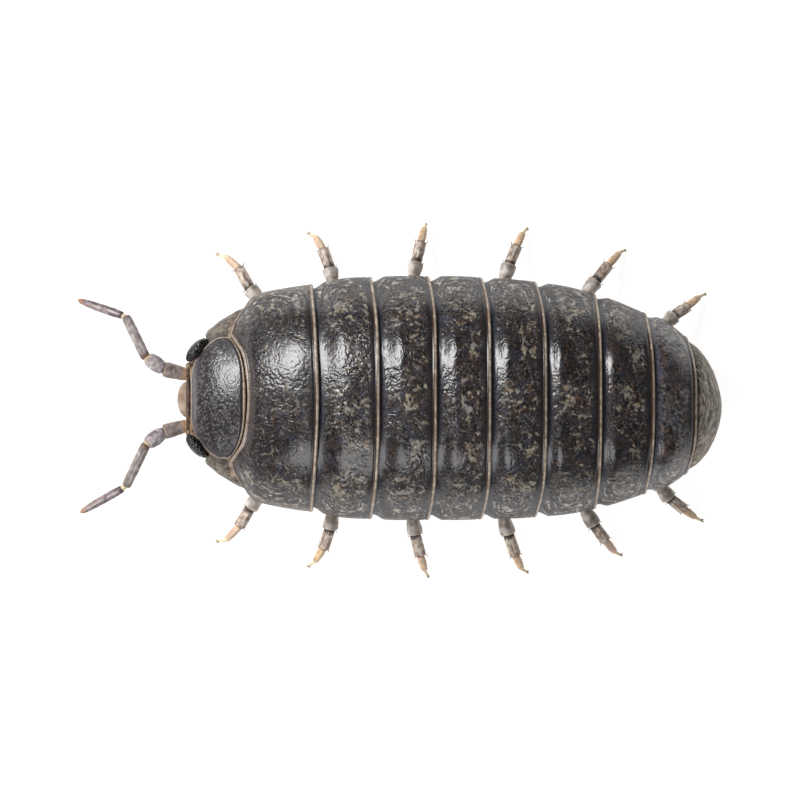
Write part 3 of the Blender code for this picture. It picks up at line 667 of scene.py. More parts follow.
# ------------------------------------------------------------------- tail
def make_tail():
    cols = int(360 * COARSE) // 2 * 2
    edge = np.array([0.0, 0.002, 0.005, 0.009])
    v = np.concatenate([edge, np.linspace(0.013, 0.987, cols), 1 - edge[::-1]])
    S, C = arch((v - 0.5) * math.pi)
    ahead = rear_line(7, S)
    gap = LIP * LIP_SCALE[7] + GAP
    side = 0.978 * TAIL_HALF * S
    rear = TAIL_CENTRE + TAIL_REACH * np.clip(1 - np.abs(side / TAIL_HALF) ** TAIL_POWER, 0, 1) ** (1 / TAIL_POWER)
    edge_z = TAIL_EDGE_Z[0] + (TAIL_EDGE_Z[1] - TAIL_EDGE_Z[0]) * C

    def shell_row(px, inset):
        half = half_width_at(px) - inset / UNIT - 2.5
        crown = crown_at(px) - inset
        return place(px, half * S, SKIRT_Z + (crown - SKIRT_Z) * C)
    start = shell_row(ahead + 1.5, gap)
    end = place(rear, side, edge_z)
    rows = [shell_row(ahead - 9.0, gap), shell_row(ahead - 4.0, gap), shell_row(ahead - 0.5, gap)]
    n = int(110 * COARSE)
    phi = np.concatenate([np.linspace(0, 0.965, n), [0.975, 0.984, 0.991, 0.996, 1.0]]) * math.pi / 2
    for f in phi:
        q, fall = math.sin(f) ** (2 / 1.7), max(math.cos(f), 0.0) ** (2 / 1.7)
        row = start + (end - start) * q
        row[:, 2] = end[:, 2] + (start[:, 2] - end[:, 2]) * fall
        rows.append(row)
    base = np.array(rows)
    px = base[..., 0] / UNIT + PLAN_CENTRE[0]
    seg = np.linalg.norm(np.diff(base, axis=1), axis=2)
    along = np.concatenate([np.zeros((len(rows), 1)), np.cumsum(seg, axis=1)], 1) / UNIT
    mid = along[:, len(v) // 2:len(v) // 2 + 1]
    arc = along - mid
    reach = np.maximum(np.where(arc < 0, mid, along[:, -1:] - mid), 1e-6)
    down = np.linalg.norm(np.diff(base, axis=0), axis=2)
    far = np.concatenate([np.cumsum(down[::-1], axis=0)[::-1], np.zeros((1, len(v)))], 0) / UNIT
    dR = np.minimum(far, (reach - np.abs(arc)))
    dF = px - ahead[None, :]
    P = base / UNIT
    turn = np.arctan2(P[..., 1] * 1.0, px - 676.0)
    ray = np.hypot(P[..., 1], px - 676.0)
    lump = noise(P / 4.6, 73)
    drift = dR + 2.2 * noise(P / 9.0, 68) + 0.8 * lump
    streak = noise(np.stack([drift / 2.5, arc / 13.0, turn], -1), 71)
    streak2 = noise(np.stack([drift / 1.4, arc / 7.0, turn + 3.0], -1), 72)
    fine = noise(P / 1.7, 74)
    fade = step(dR, 1.5, 5.0)
    h = (0.018 * streak + 0.010 * streak2 + 0.016 * lump + 0.006 * fine) * fade
    crease = bell(noise(np.stack([drift / 4.0, arc / 14.0, turn + 5.0], -1), 75), 0, 0.08)
    h -= 0.012 * crease * fade
    h -= 0.014 * bell(dR, 4.6, 0.9)
    h -= roll(dR * UNIT, 0.08)
    h *= 1 - (1 - step(reach - np.abs(arc), 1.5, 6.0)) * (1 - step(dF, 4.0, 10.0))
    n_ = normals_of(base)
    if n_[len(rows) // 2, len(v) // 2, 2] < 0:
        n_ = -n_
    outer = base + n_ * h[..., None]
    outer[..., 1] = np.sign(outer[..., 1]) * np.minimum(np.abs(outer[..., 1]), np.abs(base[..., 1]) + 0.012)
    away = step(ray, 8.0, 34.0)
    col = blend(tone(70, 64, 62), tone(172, 162, 150), 0.12 + 0.88 * away + 0.5 * lump)
    col = blend(col, BLUE, 0.5 * step(noise(P / 12.0, 76), 0.0, 0.5))
    col = blend(col, tone(96, 78, 60), 0.6 * step(noise(P / 6.0, 79) + 0.5 * noise(P / 2.6, 70), 0.0, 0.45))
    col = blend(col, tone(212, 202, 186), 0.85 * step(streak + 0.6 * streak2 + 0.4 * noise(P / 2.4, 69), 0.05, 0.5) * (0.35 + 0.65 * away))
    col = blend(col, tone(36, 32, 32), 0.6 * step(-streak2 - 0.5 * streak, 0.05, 0.5) * (1 - 0.35 * away))
    col = blend(col, SAND, 0.5 * step(noise(P / 3.4, 77) + 0.5 * noise(P / 9.0, 78), 0.28, 0.5) * fade)
    # painted shade: tail creases darkened
    col = blend(col, col * 0.5, 0.7 * crease * fade)
    col = blend(col, BROWN, 0.45 * bell(dR, 4.6, 0.9))
    col = blend(col, tone(176, 162, 142), 0.8 * (1 - step(dR + 0.3 * fine, 2.6, 3.6)))
    # painted shadow: dark strip just behind the last plate's rim
    col = blend(col, RIM_SHADOW_INK * 0.6, (1 - step(dF, 0.4, 2.4)) * step(dR, 1.5, 6.0))
    gloss = 0.32 + 0.1 * fine + 0.10 * away
    vi = np.linspace(0.015, 0.985, 64)
    Si, Ci = arch((vi - 0.5) * math.pi)
    ahead_i = rear_line(7, Si)
    side_i = 0.978 * TAIL_HALF * Si
    rear_i = TAIL_CENTRE + TAIL_REACH * np.clip(1 - np.abs(side_i / TAIL_HALF) ** TAIL_POWER, 0, 1) ** (1 / TAIL_POWER)
    edge_i = TAIL_EDGE_Z[0] + (TAIL_EDGE_Z[1] - TAIL_EDGE_Z[0]) * Ci

    def shell_in(px, inset):
        half = half_width_at(px) - inset / UNIT - 2.5
        crown = crown_at(px) - inset
        return place(px, half * Si, SKIRT_Z + (crown - SKIRT_Z) * Ci)
    start_i = shell_in(ahead_i + 1.5, gap + 0.18)
    end_i = place(rear_i - 2.0, side_i * 0.985, edge_i + 0.01)
    inner = [shell_in(ahead_i - 8.6, gap + 0.10), shell_in(ahead_i - 3.0, gap + 0.16)]
    for f in np.linspace(0, 1, 12) * math.pi / 2:
        q, fall = math.sin(f) ** (2 / 1.7), max(math.cos(f), 0.0) ** (2 / 1.7)
        row = start_i + (end_i - start_i) * q
        row[:, 2] = end_i[:, 2] + (start_i[:, 2] - end_i[:, 2]) * fall
        row[:, 0] -= 0.10 * (1 - fall) * q * Ci
        inner.append(row)
    inner = np.array(inner)
    verts, polys = pillow(outer, inner)
    inner_col = np.broadcast_to(tone(150, 136, 118), (inner.shape[0] * inner.shape[1], 3))
    obj = build("tail_plate", verts, polys, np.concatenate([col.reshape(-1, 3), inner_col]),
                pillow_uv(outer.shape[0], outer.shape[1], inner.shape[0], inner.shape[1]),
                np.concatenate([gloss.ravel(), np.full(len(inner_col), 0.5)]))
    obj.data.materials.append(TAIL)
    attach(obj, "root")
    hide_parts("plate_9")


make_tail()

# ------------------------------------------------------------------- head
HEAD_OUTLINE = ((190.6, 0), (190.8, 18), (191.6, 27), (193.5, 33.5), (196.5, 40), (202.5, 48.2),
                (207.5, 53.5), (214, 58.3), (219.5, 60.9), (225.0, 61.6), (229.4, 60.6), (233.2, 57.3),
                (236.4, 52.4), (239.8, 46.2), (242.8, 37.6), (244.9, 26), (245.9, 14), (246.3, 0))
HEAD_CROWN = curve(((190, 2.28), (198, 2.56), (206.6, 2.79), (216, 2.98), (226, 3.14), (235, 3.26), (246, 3.36)))
HEAD_RIM = curve(((190, 2.10), (198, 2.20), (206.6, 2.30), (216, 2.38), (226, 2.45), (235, 2.56), (241, 2.68), (246, 2.75)))
HEAD_HALF = curve(((186, 30), (190.5, 34), (198, 43.5), (206.6, 53.5), (216, 60.5), (226, 63.5), (235, 66), (246, 70)))
HEAD_UNDER = curve(((190, 1.25), (206.6, 1.20), (216, 1.20), (226, 1.25), (235, 1.32), (246, 1.5)))
HEAD_MID = 219.0


def head_top(px, side):
    share = np.clip(np.abs(side) / HEAD_HALF(px), 0, 1)
    return HEAD_RIM(px) + (HEAD_CROWN(px) - HEAD_RIM(px)) * np.clip(1 - share ** 2, 0, 1) ** 0.8


def head_outline(theta):
    pts = np.array(HEAD_OUTLINE)
    n = np.linspace(0, len(pts) - 1, 400)
    k = np.arange(len(pts))
    x = curve(list(zip(k, pts[:, 0])))(n)
    y = curve(list(zip(k, pts[:, 1])))(n)
    for _ in range(12):
        x[1:-1] = 0.25 * x[:-2] + 0.5 * x[1:-1] + 0.25 * x[2:]
        y[1:-1] = 0.25 * y[:-2] + 0.5 * y[1:-1] + 0.25 * y[2:]
    a = np.arctan2(y, x - HEAD_MID)
    r = np.hypot(y, x - HEAD_MID)
    order = np.argsort(a)
    return np.interp(np.abs(theta), a[order], r[order])


def make_head():
    cols = int(420 * COARSE)
    theta = np.linspace(-math.pi, math.pi, cols, endpoint=False)
    R = head_outline(theta)
    n = int(130 * COARSE)
    r = np.concatenate([np.linspace(0.012, 0.93, n), np.linspace(0.937, 0.985, 14), [0.990, 0.994, 0.997, 0.999, 1.0]])
    rr = r[:, None] * R[None, :]
    px = HEAD_MID + rr * np.cos(theta)
    side = rr * np.sin(theta)
    base = place(px, side, head_top(px, side))
    d = R[None, :] - rr                                 # units in from the outline
    back = step(px, 232, 243)
    P = np.stack([px, side, np.zeros_like(px)], -1)
    near1, near2, tone1 = cells(P / 2.35 + 0.25 * noise(P / 5.0, 81)[..., None], 2)
    small1, _, _ = cells(P / 1.45, 6)
    granule = np.clip(1 - (near1 / 0.56) ** 2, 0, 1)
    front_band = 1 - step(px + 0.0008 * side ** 2, 193.5, 199.0)
    pad = 1 - step(np.hypot((px - 232.5) / 0.80, side - 19) + 1.5 * noise(P / 4.0, 92), 12.0, 18.0)
    inside = step(d, 4.0, 8.5) * (1 - 0.8 * front_band) * (1 - 0.94 * pad)
    h = 0.0075 * granule * inside * (0.55 + 0.45 * tone1) + 0.004 * np.clip(1 - small1 / 0.5, 0, 1) * step(d, 3, 5)
    h += 0.004 * noise(P / 4.0, 82) * step(d, 3, 6) * (1 - pad)
    ring = bell(np.hypot((px - 232) / 0.75, side - 19) + noise(P / 4, 83) * 1.5, 6.0, 0.6)
    ring += 0.8 * bell(np.hypot((px - 232) / 0.75, side - 19) + noise(P / 4, 84) * 1.5, 10.5, 0.6)
    ring += 0.6 * bell(np.hypot((px - 232) / 0.75, side - 19) + noise(P / 4, 93) * 1.5, 2.6, 0.5)
    h -= 0.0035 * ring
    width = 1.25 + 1.25 * back + 0.25 * noise(P / 3.5, 85)
    h -= 0.045 * bell(d, width + 1.5, 1.0)
    h += 0.012 * bell(d, width * 0.5, width * 0.6)
    h -= roll(d * UNIT, 0.055)
    nrm = normals_of(base)
    if nrm[n // 2, 10, 2] < 0:
        nrm = -nrm
    top = base + nrm * h[..., None]
    grain = noise(P / 1.3, 86)
    col = blend(tone(40, 37, 40), tone(84, 80, 85), 0.45 + 0.55 * noise(P / 8.0, 87) + 0.50 * grain)
    col = blend(col, tone(58, 44, 38), 0.45 * step(noise(P / 7.0, 88), 0.05, 0.5))
    # painted highlight on the raised granule tops, and painted shade in the hollows between them
    col = blend(col, tone(110, 105, 109), 0.60 * np.clip(granule * inside * (0.15 + tone1), 0, 1))
    col = blend(col, tone(22, 19, 22), 0.80 * np.clip(1 - granule * 2.0, 0, 1) * inside)
    # painted shade: ring grooves on the smooth pad darkened
    col = blend(col, tone(26, 22, 25), 0.80 * np.clip(ring, 0, 1) * pad)
    col = blend(col, tone(126, 121, 125), 0.62 * front_band * (0.8 + 0.5 * grain))
    # painted shade: dark line in the groove inside the rim, heavier at the back
    col = blend(col, tone(30, 26, 28), 0.85 * bell(d, width + 1.7, 1.1) * (0.35 + 0.65 * back))
    rimcol = blend(tone(172, 154, 136), tone(138, 118, 98), 0.5 + noise(P / 3.0, 89))
    col = blend(col, rimcol, 1 - step(d, width - 0.4, width + 0.5))
    gloss = 0.30 + 0.06 * grain - 0.04 * pad + 0.30 * bell(d, width + 1.5, 1.6)
    # walls and underside
    zr = head_top(HEAD_MID + R * np.cos(theta), R * np.sin(theta)) - 0.055
    zu = HEAD_UNDER(HEAD_MID + R * np.cos(theta))
    walls, wcol = [], []
    profile = ((0.998, 0.03), (0.992, 0.065), (0.978, 0.085), (0.958, 0.095), (0.942, 0.12), (0.936, 0.17),
               (0.938, 0.24), (0.940, 0.32), (0.936, 0.42), (0.922, 0.52), (0.895, 0.63), (0.850, 0.74),
               (0.780, 0.84), (0.690, 0.91), (0.580, 0.96), (0.440, 0.99), (0.280, 1.0), (0.12, 1.0))
    for s, dep in profile:
        x = HEAD_MID + R * s * np.cos(theta)
        y = R * s * np.sin(theta)
        z = zr - (zr - zu) * dep
        q = place(x, y, z)
        nz = noise(q / UNIT / 6.0, 90) * 0.012 * (dep > 0.1) * (dep < 0.99)
        q = q + np.stack([np.cos(theta), np.sin(theta), np.zeros_like(theta)], -1) * nz[:, None]
        walls.append(q)
        c = blend(tone(176, 156, 132), tone(118, 100, 84), 0.5 + noise(q / UNIT / 7.0, 91))
        c = blend(c, tone(70, 52, 42), 0.8 * bell(dep, 0.10, 0.03) * np.ones(len(theta)))
        wcol.append(c)
    tip_top = place([HEAD_MID], [0.0], head_top(HEAD_MID, 0.0))
    tip_low = place([HEAD_MID], [0.0], HEAD_UNDER(HEAD_MID))
    rings = np.concatenate([top.reshape(-1, 3), np.array(walls).reshape(-1, 3)])
    rows = len(r) + len(profile)
    verts = np.concatenate([rings, tip_top, tip_low])
    quads = grid_faces(rows, cols, wrap=True)
    a = np.arange(cols)
    b = (a + 1) % cols
    t1 = np.stack([np.full(cols, rows * cols), b, a], -1)
    last = (rows - 1) * cols
    t2 = np.stack([np.full(cols, rows * cols + 1), last + a, last + b], -1)
    wall_col = np.array(wcol).reshape(-1, 3)
    colour = np.concatenate([col.reshape(-1, 3), wall_col, col[0, :1], wall_col[-1:]])
    gl = np.concatenate([gloss.ravel(), np.full(len(wall_col), 0.5), [0.3, 0.5]])
    rho = np.concatenate([r * 0.80, 0.80 + 0.19 * (np.arange(len(profile)) + 1) / len(profile)])
    uv = np.stack([0.5 + 0.5 * rho[:, None] * np.cos(theta), 0.5 + 0.5 * rho[:, None] * np.sin(theta)], -1)
    uv = np.concatenate([uv.reshape(-1, 2), [[0.5, 0.5], [0.999, 0.5]]])
    obj = build("head_capsule", verts, [quads, t1, t2], colour, uv, gl)
    obj.data.materials.append(HEAD)
    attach(obj, "root")
    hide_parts("head")


make_head()


# --------------------------------------------------------- rods and blobs
def rod(a, b, profile, colour, rings=36, sides=28, squash=1.0, bend=0.0, rough=0.004, seed=0, floor=None,
        side_bend=0.0, relief=None):
    """Closed rod from a to b; profile is (share of length, radius in mm)."""
    rings, sides = max(int(rings * (0.6 if COARSE < 1 else 1)), 6), max(int(sides * (0.6 if COARSE < 1 else 1)), 6)
    a, b = np.asarray(a, float), np.asarray(b, float)
    t = (1 - np.cos(np.linspace(0.02, 1 - 0.02, rings) * math.pi)) / 2
    t = (t - t[0]) / (t[-1] - t[0])
    axis = (b - a) / np.linalg.norm(b - a)
    side = np.cross(axis, [0, 0, 1.0])
    if np.linalg.norm(side) < 1e-3:
        side = np.array([0, 1.0, 0])
    side /= np.linalg.norm(side)
    top = np.cross(side, axis)
    mid = a + (b - a) * t[:, None] + (4 * t * (1 - t))[:, None] * (top * bend + side * side_bend)
    r = curve(profile)(t)
    w = np.linspace(0, 2 * math.pi, sides, endpoint=False)
    ww, tt = np.meshgrid(w, t, indexing="xy")
    ring = np.cos(ww)[..., None] * side + squash * np.sin(ww)[..., None] * top
    q = mid[:, None, :] + ring * r[:, None, None]
    n1 = noise(q * 9.0 + seed, seed)
    n2 = noise(q * 26.0, seed + 1)
    soft = np.minimum(1, np.minimum(tt, 1 - tt) * 12)[..., None]
    lift = (n1 * 2.0 + n2) * rough
    if relief is not None:
        lift = lift + relief(tt, ww)
    q = q + ring * (lift[..., None] * soft)
    if floor is not None:
        q[..., 2] = np.maximum(q[..., 2], floor)
    col = colour(tt, ww, q)
    ends = np.array([mid[0] - axis * r[0] * 0.25, mid[-1] + axis * r[-1] * 0.25])
    if floor is not None:
        ends[:, 2] = np.maximum(ends[:, 2], floor)
    verts = np.concatenate([q.reshape(-1, 3), ends])
    n = rings * sides
    quads = grid_faces(rings, sides, wrap=True)
    i = np.arange(sides)
    j = (i + 1) % sides
    tris = np.concatenate([np.stack([np.full(sides, n), j, i], -1),
                           np.stack([np.full(sides, n + 1), n - sides + i, n - sides + j], -1)])
    cols = np.concatenate([col.reshape(-1, 3), col[0, :1], col[-1, :1]])
    return verts, quads, tris, cols


def blob(centre, axes, colour, rows=28, sides=36, lift=None):
    """Closed ellipsoid; axes are three vectors in mm."""
    rows, sides = max(int(rows * (0.6 if COARSE < 1 else 1)), 6), max(int(sides * (0.6 if COARSE < 1 else 1)), 8)
    u = (np.arange(rows) + 0.5) / rows * math.pi
    w = np.linspace(0, 2 * math.pi, sides, endpoint=False)
    uu, ww = np.meshgrid(u, w, indexing="ij")
    d = np.stack([np.sin(uu) * np.cos(ww), np.sin(uu) * np.sin(ww), np.cos(uu)], -1)
    A = np.array(axes, float)
    k = 1.0 + (lift(d) if lift is not None else 0.0)
    q = np.asarray(centre, float) + (d * (k[..., None] if lift is not None else 1.0)) @ A
    ends = np.array([np.asarray(centre) + A[2], np.asarray(centre) - A[2]])
    verts = np.concatenate([q.reshape(-1, 3), ends])
    n = rows * sides
    quads = grid_faces(rows, sides, wrap=True)
    i = np.arange(sides)
    j = (i + 1) % sides
    tris = np.concatenate([np.stack([np.full(sides, n), j, i], -1),
                           np.stack([np.full(sides, n + 1), n - sides + i, n - sides + j], -1)])
    col = colour(d, q)
    return verts, quads, tris, np.concatenate([col.reshape(-1, 3), col[0, :1], col[-1, :1]])


def gather(parts):
    """Several closed bodies as one mesh's points and faces."""
    v, q, t, c, base = [], [], [], [], 0
    for pv, pq, pt, pc in parts:
        f = facing(pv, pq, pt)
        if f < 0:
            pq, pt = pq[:, ::-1], pt[:, ::-1]
        v.append(pv)
        q.append(pq + base)
        t.append(pt + base)
        c.append(pc)
        base += len(pv)
    return np.concatenate(v), [np.concatenate(q), np.concatenate(t)], np.concatenate(c)


def facing(v, q, t):
    v = v - v.mean(0)
    out = 0.0
    for p in (q, t):
        for k in range(1, p.shape[1] - 1):
            out += np.einsum("ij,ij->i", v[p[:, 0]], np.cross(v[p[:, k]], v[p[:, k + 1]])).sum()
    return out


def piece(name, parts, mat, nodes=(), gloss=0.4):
    v, f, c = gather(parts)
    obj = build(name, v, f, c, None, np.full(len(v), gloss))
    obj.data.materials.append(mat)
    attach(obj, "root")
    if nodes:
        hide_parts(*nodes)
    return obj


def flat_tone(c):
    c = np.asarray(c)
    return lambda t, w, q: np.broadcast_to(c, t.shape + (3,)) * (1 + 0.25 * noise(q * 8.0, 3))[..., None]


def spike(root, tip, r=0.011, colour=tone(70, 48, 36)):
    return rod(root, tip, ((0, r), (0.5, r * 0.75), (1, r * 0.12)), lambda t, w, q: np.broadcast_to(colour, t.shape + (3,)),
               rings=8, sides=8, rough=0.0)


# ------------------------------------------------------------------- eyes
def make_eye(name, hand):
    a = place(190.0, hand * 33.0, 2.08)
    b = place(206.6, hand * 51.0, 2.08)
    along = (b - a) / np.linalg.norm(b - a)
    up = np.array([0.0, 0.0, 1.0])
    out = np.cross(along, up) * -hand
    out = -out if out[0] > 0 else out
    centre = (a + b) / 2 + along * 3.6 * UNIT + out * 0.165 + up * 0.05

    def near(d):
        q = (d[..., :1] * along * 0.485 + d[..., 1:2] * out * 0.225 + d[..., 2:] * up * 0.33) / UNIT
        return cells(q / 2.1, 8)[0]

    def lift(d):
        g = near(d)
        return 0.060 * np.clip(1 - (g / 0.60) ** 2, 0, 1) - 0.03

    def colour(d, q):
        g = near(d)
        # painted shade: darker hollows between the facets
        c = blend(tone(24, 25, 25), tone(3, 3, 4), step(g, 0.25, 0.55))
        return c * (1 + 0.5 * noise(q * 7.0, 9))[..., None]
    axes = (along * 0.485, out * 0.225, up * 0.33)
    part = blob(centre, axes, colour, rows=110, sides=150, lift=lift)
    piece(name + "_facets", [part], EYE, [name], gloss=0.36)

    def rim(d, q):
        return blend(tone(136, 116, 100), tone(92, 74, 62), 0.5 + noise(q * 7.0, 94))
    orbit = blob(centre - out * 0.14 - up * 0.13, (along * 0.50, out * 0.17, up * 0.30), rim, rows=40, sides=60)
    piece(name.replace("eye", "orbit"), [orbit], FACE, gloss=0.44)


make_eye("eye_right", 1.0)
make_eye("eye_left", -1.0)


# ------------------------------------------------------------------- face
def make_face():
    def skin(t, w, q):
        front = np.clip(-np.cos(w) * 1.0, -1, 1)
        c = blend(tone(58, 40, 32), tone(120, 88, 64), step(front, 0.55, 0.95))
        c = blend(c, tone(40, 26, 22), 0.8 * bell(front, 0.15, 0.25))
        c = blend(c, tone(120, 84, 60), 0.4 * step(noise(q * 8.0, 95), 0.1, 0.4))
        return c

    def lobe(d, q):
        return blend(tone(150, 130, 104), tone(108, 88, 68), 0.5 + noise(q * 6.0, 96))

    def dome(d, q):
        c = blend(tone(170, 152, 134), tone(132, 112, 94), 0.45 + 0.9 * noise(q * 3.0, 97))
        c = blend(c, tone(128, 96, 74), 0.5 * step(noise(q * np.array([9.0, 2.5, 6.0]), 98), 0.15, 0.5))
        return c
    def edge(t, w, q):
        c = blend(tone(160, 134, 102), tone(108, 82, 60), 0.5 + 1.2 * noise(q * 7.0, 93))
        return c
    parts = [rod(plan(189.2, 362.5, 1.88), plan(189.2, 435.5, 1.88),
                 ((0, 0.04), (0.1, 0.05), (0.22, 0.06), (0.32, 0.10), (0.5, 0.105), (0.68, 0.10), (0.78, 0.06), (0.9, 0.05), (1, 0.04)),
                 skin, rings=90, sides=28, squash=3.0, side_bend=0.0, rough=0.004, seed=3),
             rod(plan(186.4, 373.0, 1.88), plan(186.4, 425.0, 1.88), ((0, 0.025), (0.1, 0.036), (0.5, 0.040), (0.9, 0.036), (1, 0.025)),
                 edge, rings=70, sides=20, squash=2.0, side_bend=-0.03, rough=0.004, seed=4),
             rod(plan(191.6, 362.0, 1.86), plan(191.6, 437.0, 1.86), ((0, 0.05), (0.1, 0.085), (0.5, 0.085), (0.9, 0.085), (1, 0.05)),
                 edge, rings=60, sides=20, squash=2.6, rough=0.004, seed=5)]
    for py in (365.8, 433.0):
        parts.append(blob(plan(188.6, py, 1.98), (np.array([0.10, 0, 0]), np.array([0, 0.105, 0]), np.array([0, 0, 0.14])),
                          lobe, rows=18, sides=24))
    v, f, c = gather(parts)
    obj = build("brow", v, f, c, None, np.full(len(v), 0.42))
    obj.data.materials.append(FACE)
    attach(obj, "root")

    def puff(d):
        return 0.02 * noise(d * 3.0, 99)
    dome_part = blob(plan(186.3, 399.5, 1.52), (np.array([9.2 * UNIT, 0, 0]), np.array([0, 17.6 * UNIT, 0]),
                                                np.array([0, 0, 0.50])), dome, rows=60, sides=90, lift=puff)
    piece("clypeus_dome", [dome_part], FACE, ["clypeus"], gloss=0.44)
    mouth = []

    def jaw(d, q):
        c = blend(tone(172, 146, 112), tone(120, 88, 62), 0.5 + noise(q * 4.0, 100))
        return blend(c, tone(70, 44, 30), 0.6 * step(-d[..., 2], 0.6, 0.95))
    for hand in (1.0, -1.0):
        mouth.append(blob(place(199.0, hand * 9.6, 0.93), (np.array([0.46, 0, 0]), np.array([0, 0.27, 0]), np.array([0, 0, 0.25])),
                          jaw, rows=40, sides=60, lift=lambda d: 0.03 * noise(d * 3.5, 101)))
        mouth.append(blob(place(190.5, hand * 8.0, 0.94), (np.array([0.22, 0, 0]), np.array([0, 0.20, 0]), np.array([0, 0, 0.22])),
                          jaw, rows=30, sides=40, lift=lambda d: 0.03 * noise(d * 3.5, 102)))
        mouth.append(blob(place(203.0, hand * 19.0, 1.02), (np.array([0.36, 0, 0]), np.array([0, 0.15, 0]), np.array([0, 0, 0.20])),
                          jaw, rows=30, sides=40, lift=lambda d: 0.03 * noise(d * 3.5, 103)))
    piece("mouth_plates", mouth, FACE, ["mouthparts"], gloss=0.42)


make_face()


def make_neck():
    def tissue(d, q):
        c = blend(tone(150, 132, 114), tone(104, 86, 72), 0.5 + 1.2 * noise(q * 5.0, 105))
        return blend(c, tone(182, 164, 140), 0.5 * step(noise(q * np.array([3.0, 9.0, 5.0]), 106), 0.05, 0.4))
    part = blob(place(236.0, 0.0, 2.02), (np.array([21 * UNIT, 0, 0]), np.array([0, 80 * UNIT, 0]), np.array([0, 0, 0.74])),
                tissue, rows=60, sides=90, lift=lambda d: 0.03 * noise(d * 5.0, 107))
    piece("neck_tissue", [part], FACE, gloss=0.46)


make_neck()

# ------------------------------------------------------------- neck lobes
COLLAR_HALF = curve(((202, 60), (209, 68.5), (215, 73.5), (221, 78), (230, 83.5), (236, 87), (243, 90)))
HEAD_SIDE = curve(((190, 33), (198, 42), (206.6, 51), (216, 57.5), (226, 60.5), (232, 61.0)))


def make_collar(name, hand):
    rows, cols = int(90 * COARSE), int(120 * COARSE)
    u = np.concatenate([[0, 0.006, 0.015, 0.03], np.linspace(0.045, 0.985, rows), [1.0]])
    s = np.concatenate([np.linspace(0, 0.96, cols), [0.972, 0.983, 0.991, 0.996, 1.0]])
    uu, ss = np.meshgrid(u, s, indexing="ij")

    def surface(uu, ss, extra):
        sn = np.sin(ss * math.pi / 2) ** 0.9
        cs = np.clip(np.cos(ss * math.pi / 2), 0, 1) ** 0.9
        stop = collar_line_at(0.70 + 0.30 * sn) + 1.5
        lead = 209.0 - 5.0 * sn
        stop = stop + 2.0
        px = lead + (stop - lead) * uu
        near = HEAD_SIDE(np.minimum(px, 229.0)) + 1.2
        far = COLLAR_HALF(px)
        top = HEAD_RIM(np.minimum(px, 241)) - 0.10
        skirt = SKIRT_Z + 0.12 * (1 - uu)
        side = near + (far - near) * sn
        z = skirt + (top - skirt) * cs - 0.16 * step(uu, 0.72, 1.0) * (0.3 + 0.7 * cs)
        return px, side - extra / UNIT * sn, z - extra * cs
    px, side, z = surface(uu, ss, 0.0)
    base = place(px, hand * side, z)
    seg = np.linalg.norm(np.diff(base, axis=1), axis=2)
    arc = np.concatenate([np.zeros((len(u), 1)), np.cumsum(seg, axis=1)], 1) / UNIT
    reach = arc[:, -1:]
    P = np.stack([px, arc, np.zeros_like(px) + 11 * hand], -1)
    wave = np.sin(arc * 1.15 + 2.4 * noise(np.stack([px / 16.0, arc / 8.0, P[..., 2]], -1), 111))
    wave = np.maximum(wave, 0) ** 2
    dE = reach - arc
    dP = px - px[:1]
    h = 0.007 * wave * step(dE, 1, 4) + 0.014 * noise(P / 5.0, 112) + 0.005 * noise(P / 1.6, 113)
    h -= 0.016 * bell(dE, 3.6, 0.8)
    h -= roll(dE * UNIT, 0.07) + roll(dP * UNIT, 0.07)
    n_ = normals_of(base)
    if n_[len(u) // 2, len(s) // 4, 2] < 0:
        n_ = -n_
    outer = base + n_ * h[..., None]
    col = blend(tone(62, 54, 48), tone(122, 111, 99), 0.5 + 1.2 * noise(P / 6.0, 114) + 0.5 * noise(P / 2.2, 116))
    col = blend(col, tone(158, 146, 128), 0.38 * wave)
    col = blend(col, tone(44, 33, 29), 0.85 * step(noise(P / 7.0, 115) - 0.02 * arc, -0.1, 0.3))
    col = blend(col, tone(78, 60, 50), 0.8 * (1 - step(arc, 1.0, 4.5)))
    col = blend(col, tone(190, 176, 154), 0.8 * (1 - step(dE, 2.2, 3.2)))
    col = blend(col, tone(100, 76, 58), 0.4 * bell(dE, 3.8, 0.9))
    ui, si = np.meshgrid(np.linspace(0.03, 0.98, 14), np.linspace(0.02, 0.97, 20), indexing="ij")
    px2, side2, z2 = surface(ui, si, 0.26)
    inner = place(px2, hand * side2, z2)
    verts, polys = pillow(outer, inner)
    inner_col = np.broadcast_to(tone(150, 136, 118), (inner.shape[0] * inner.shape[1], 3))
    obj = build("neck_" + name.split("_")[1], verts, polys, np.concatenate([col.reshape(-1, 3), inner_col]),
                pillow_uv(outer.shape[0], outer.shape[1], inner.shape[0], inner.shape[1]),
                np.full(outer.shape[0] * outer.shape[1] + len(inner_col), 0.42))
    obj.data.materials.append(COLLAR)
    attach(obj, "root")
    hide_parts(name)


make_collar("collar_right", 1.0)
make_collar("collar_left", -1.0)

# --------------------------------------------------------------- antennae
FEELERS = {
    "right": (((186.8, 374.6, 1.73), (163.6, 369.0, 1.82)),
              ((164.2, 369.6, 1.83), (146.8, 357.4, 1.97)),
              ((146.2, 358.4, 1.97), (125.6, 316.4, 1.52)),
              ((122.6, 315.6, 1.46), (77.4, 299.9, 0.72))),
    "left": (((186.8, 425.6, 1.73), (163.6, 432.0, 1.82)),
             ((164.2, 431.6, 1.83), (146.8, 444.4, 1.97)),
             ((146.6, 443.6, 1.97), (125.8, 486.4, 1.52)),
             ((122.4, 488.6, 1.46), (79.8, 512.7, 0.72))),
}


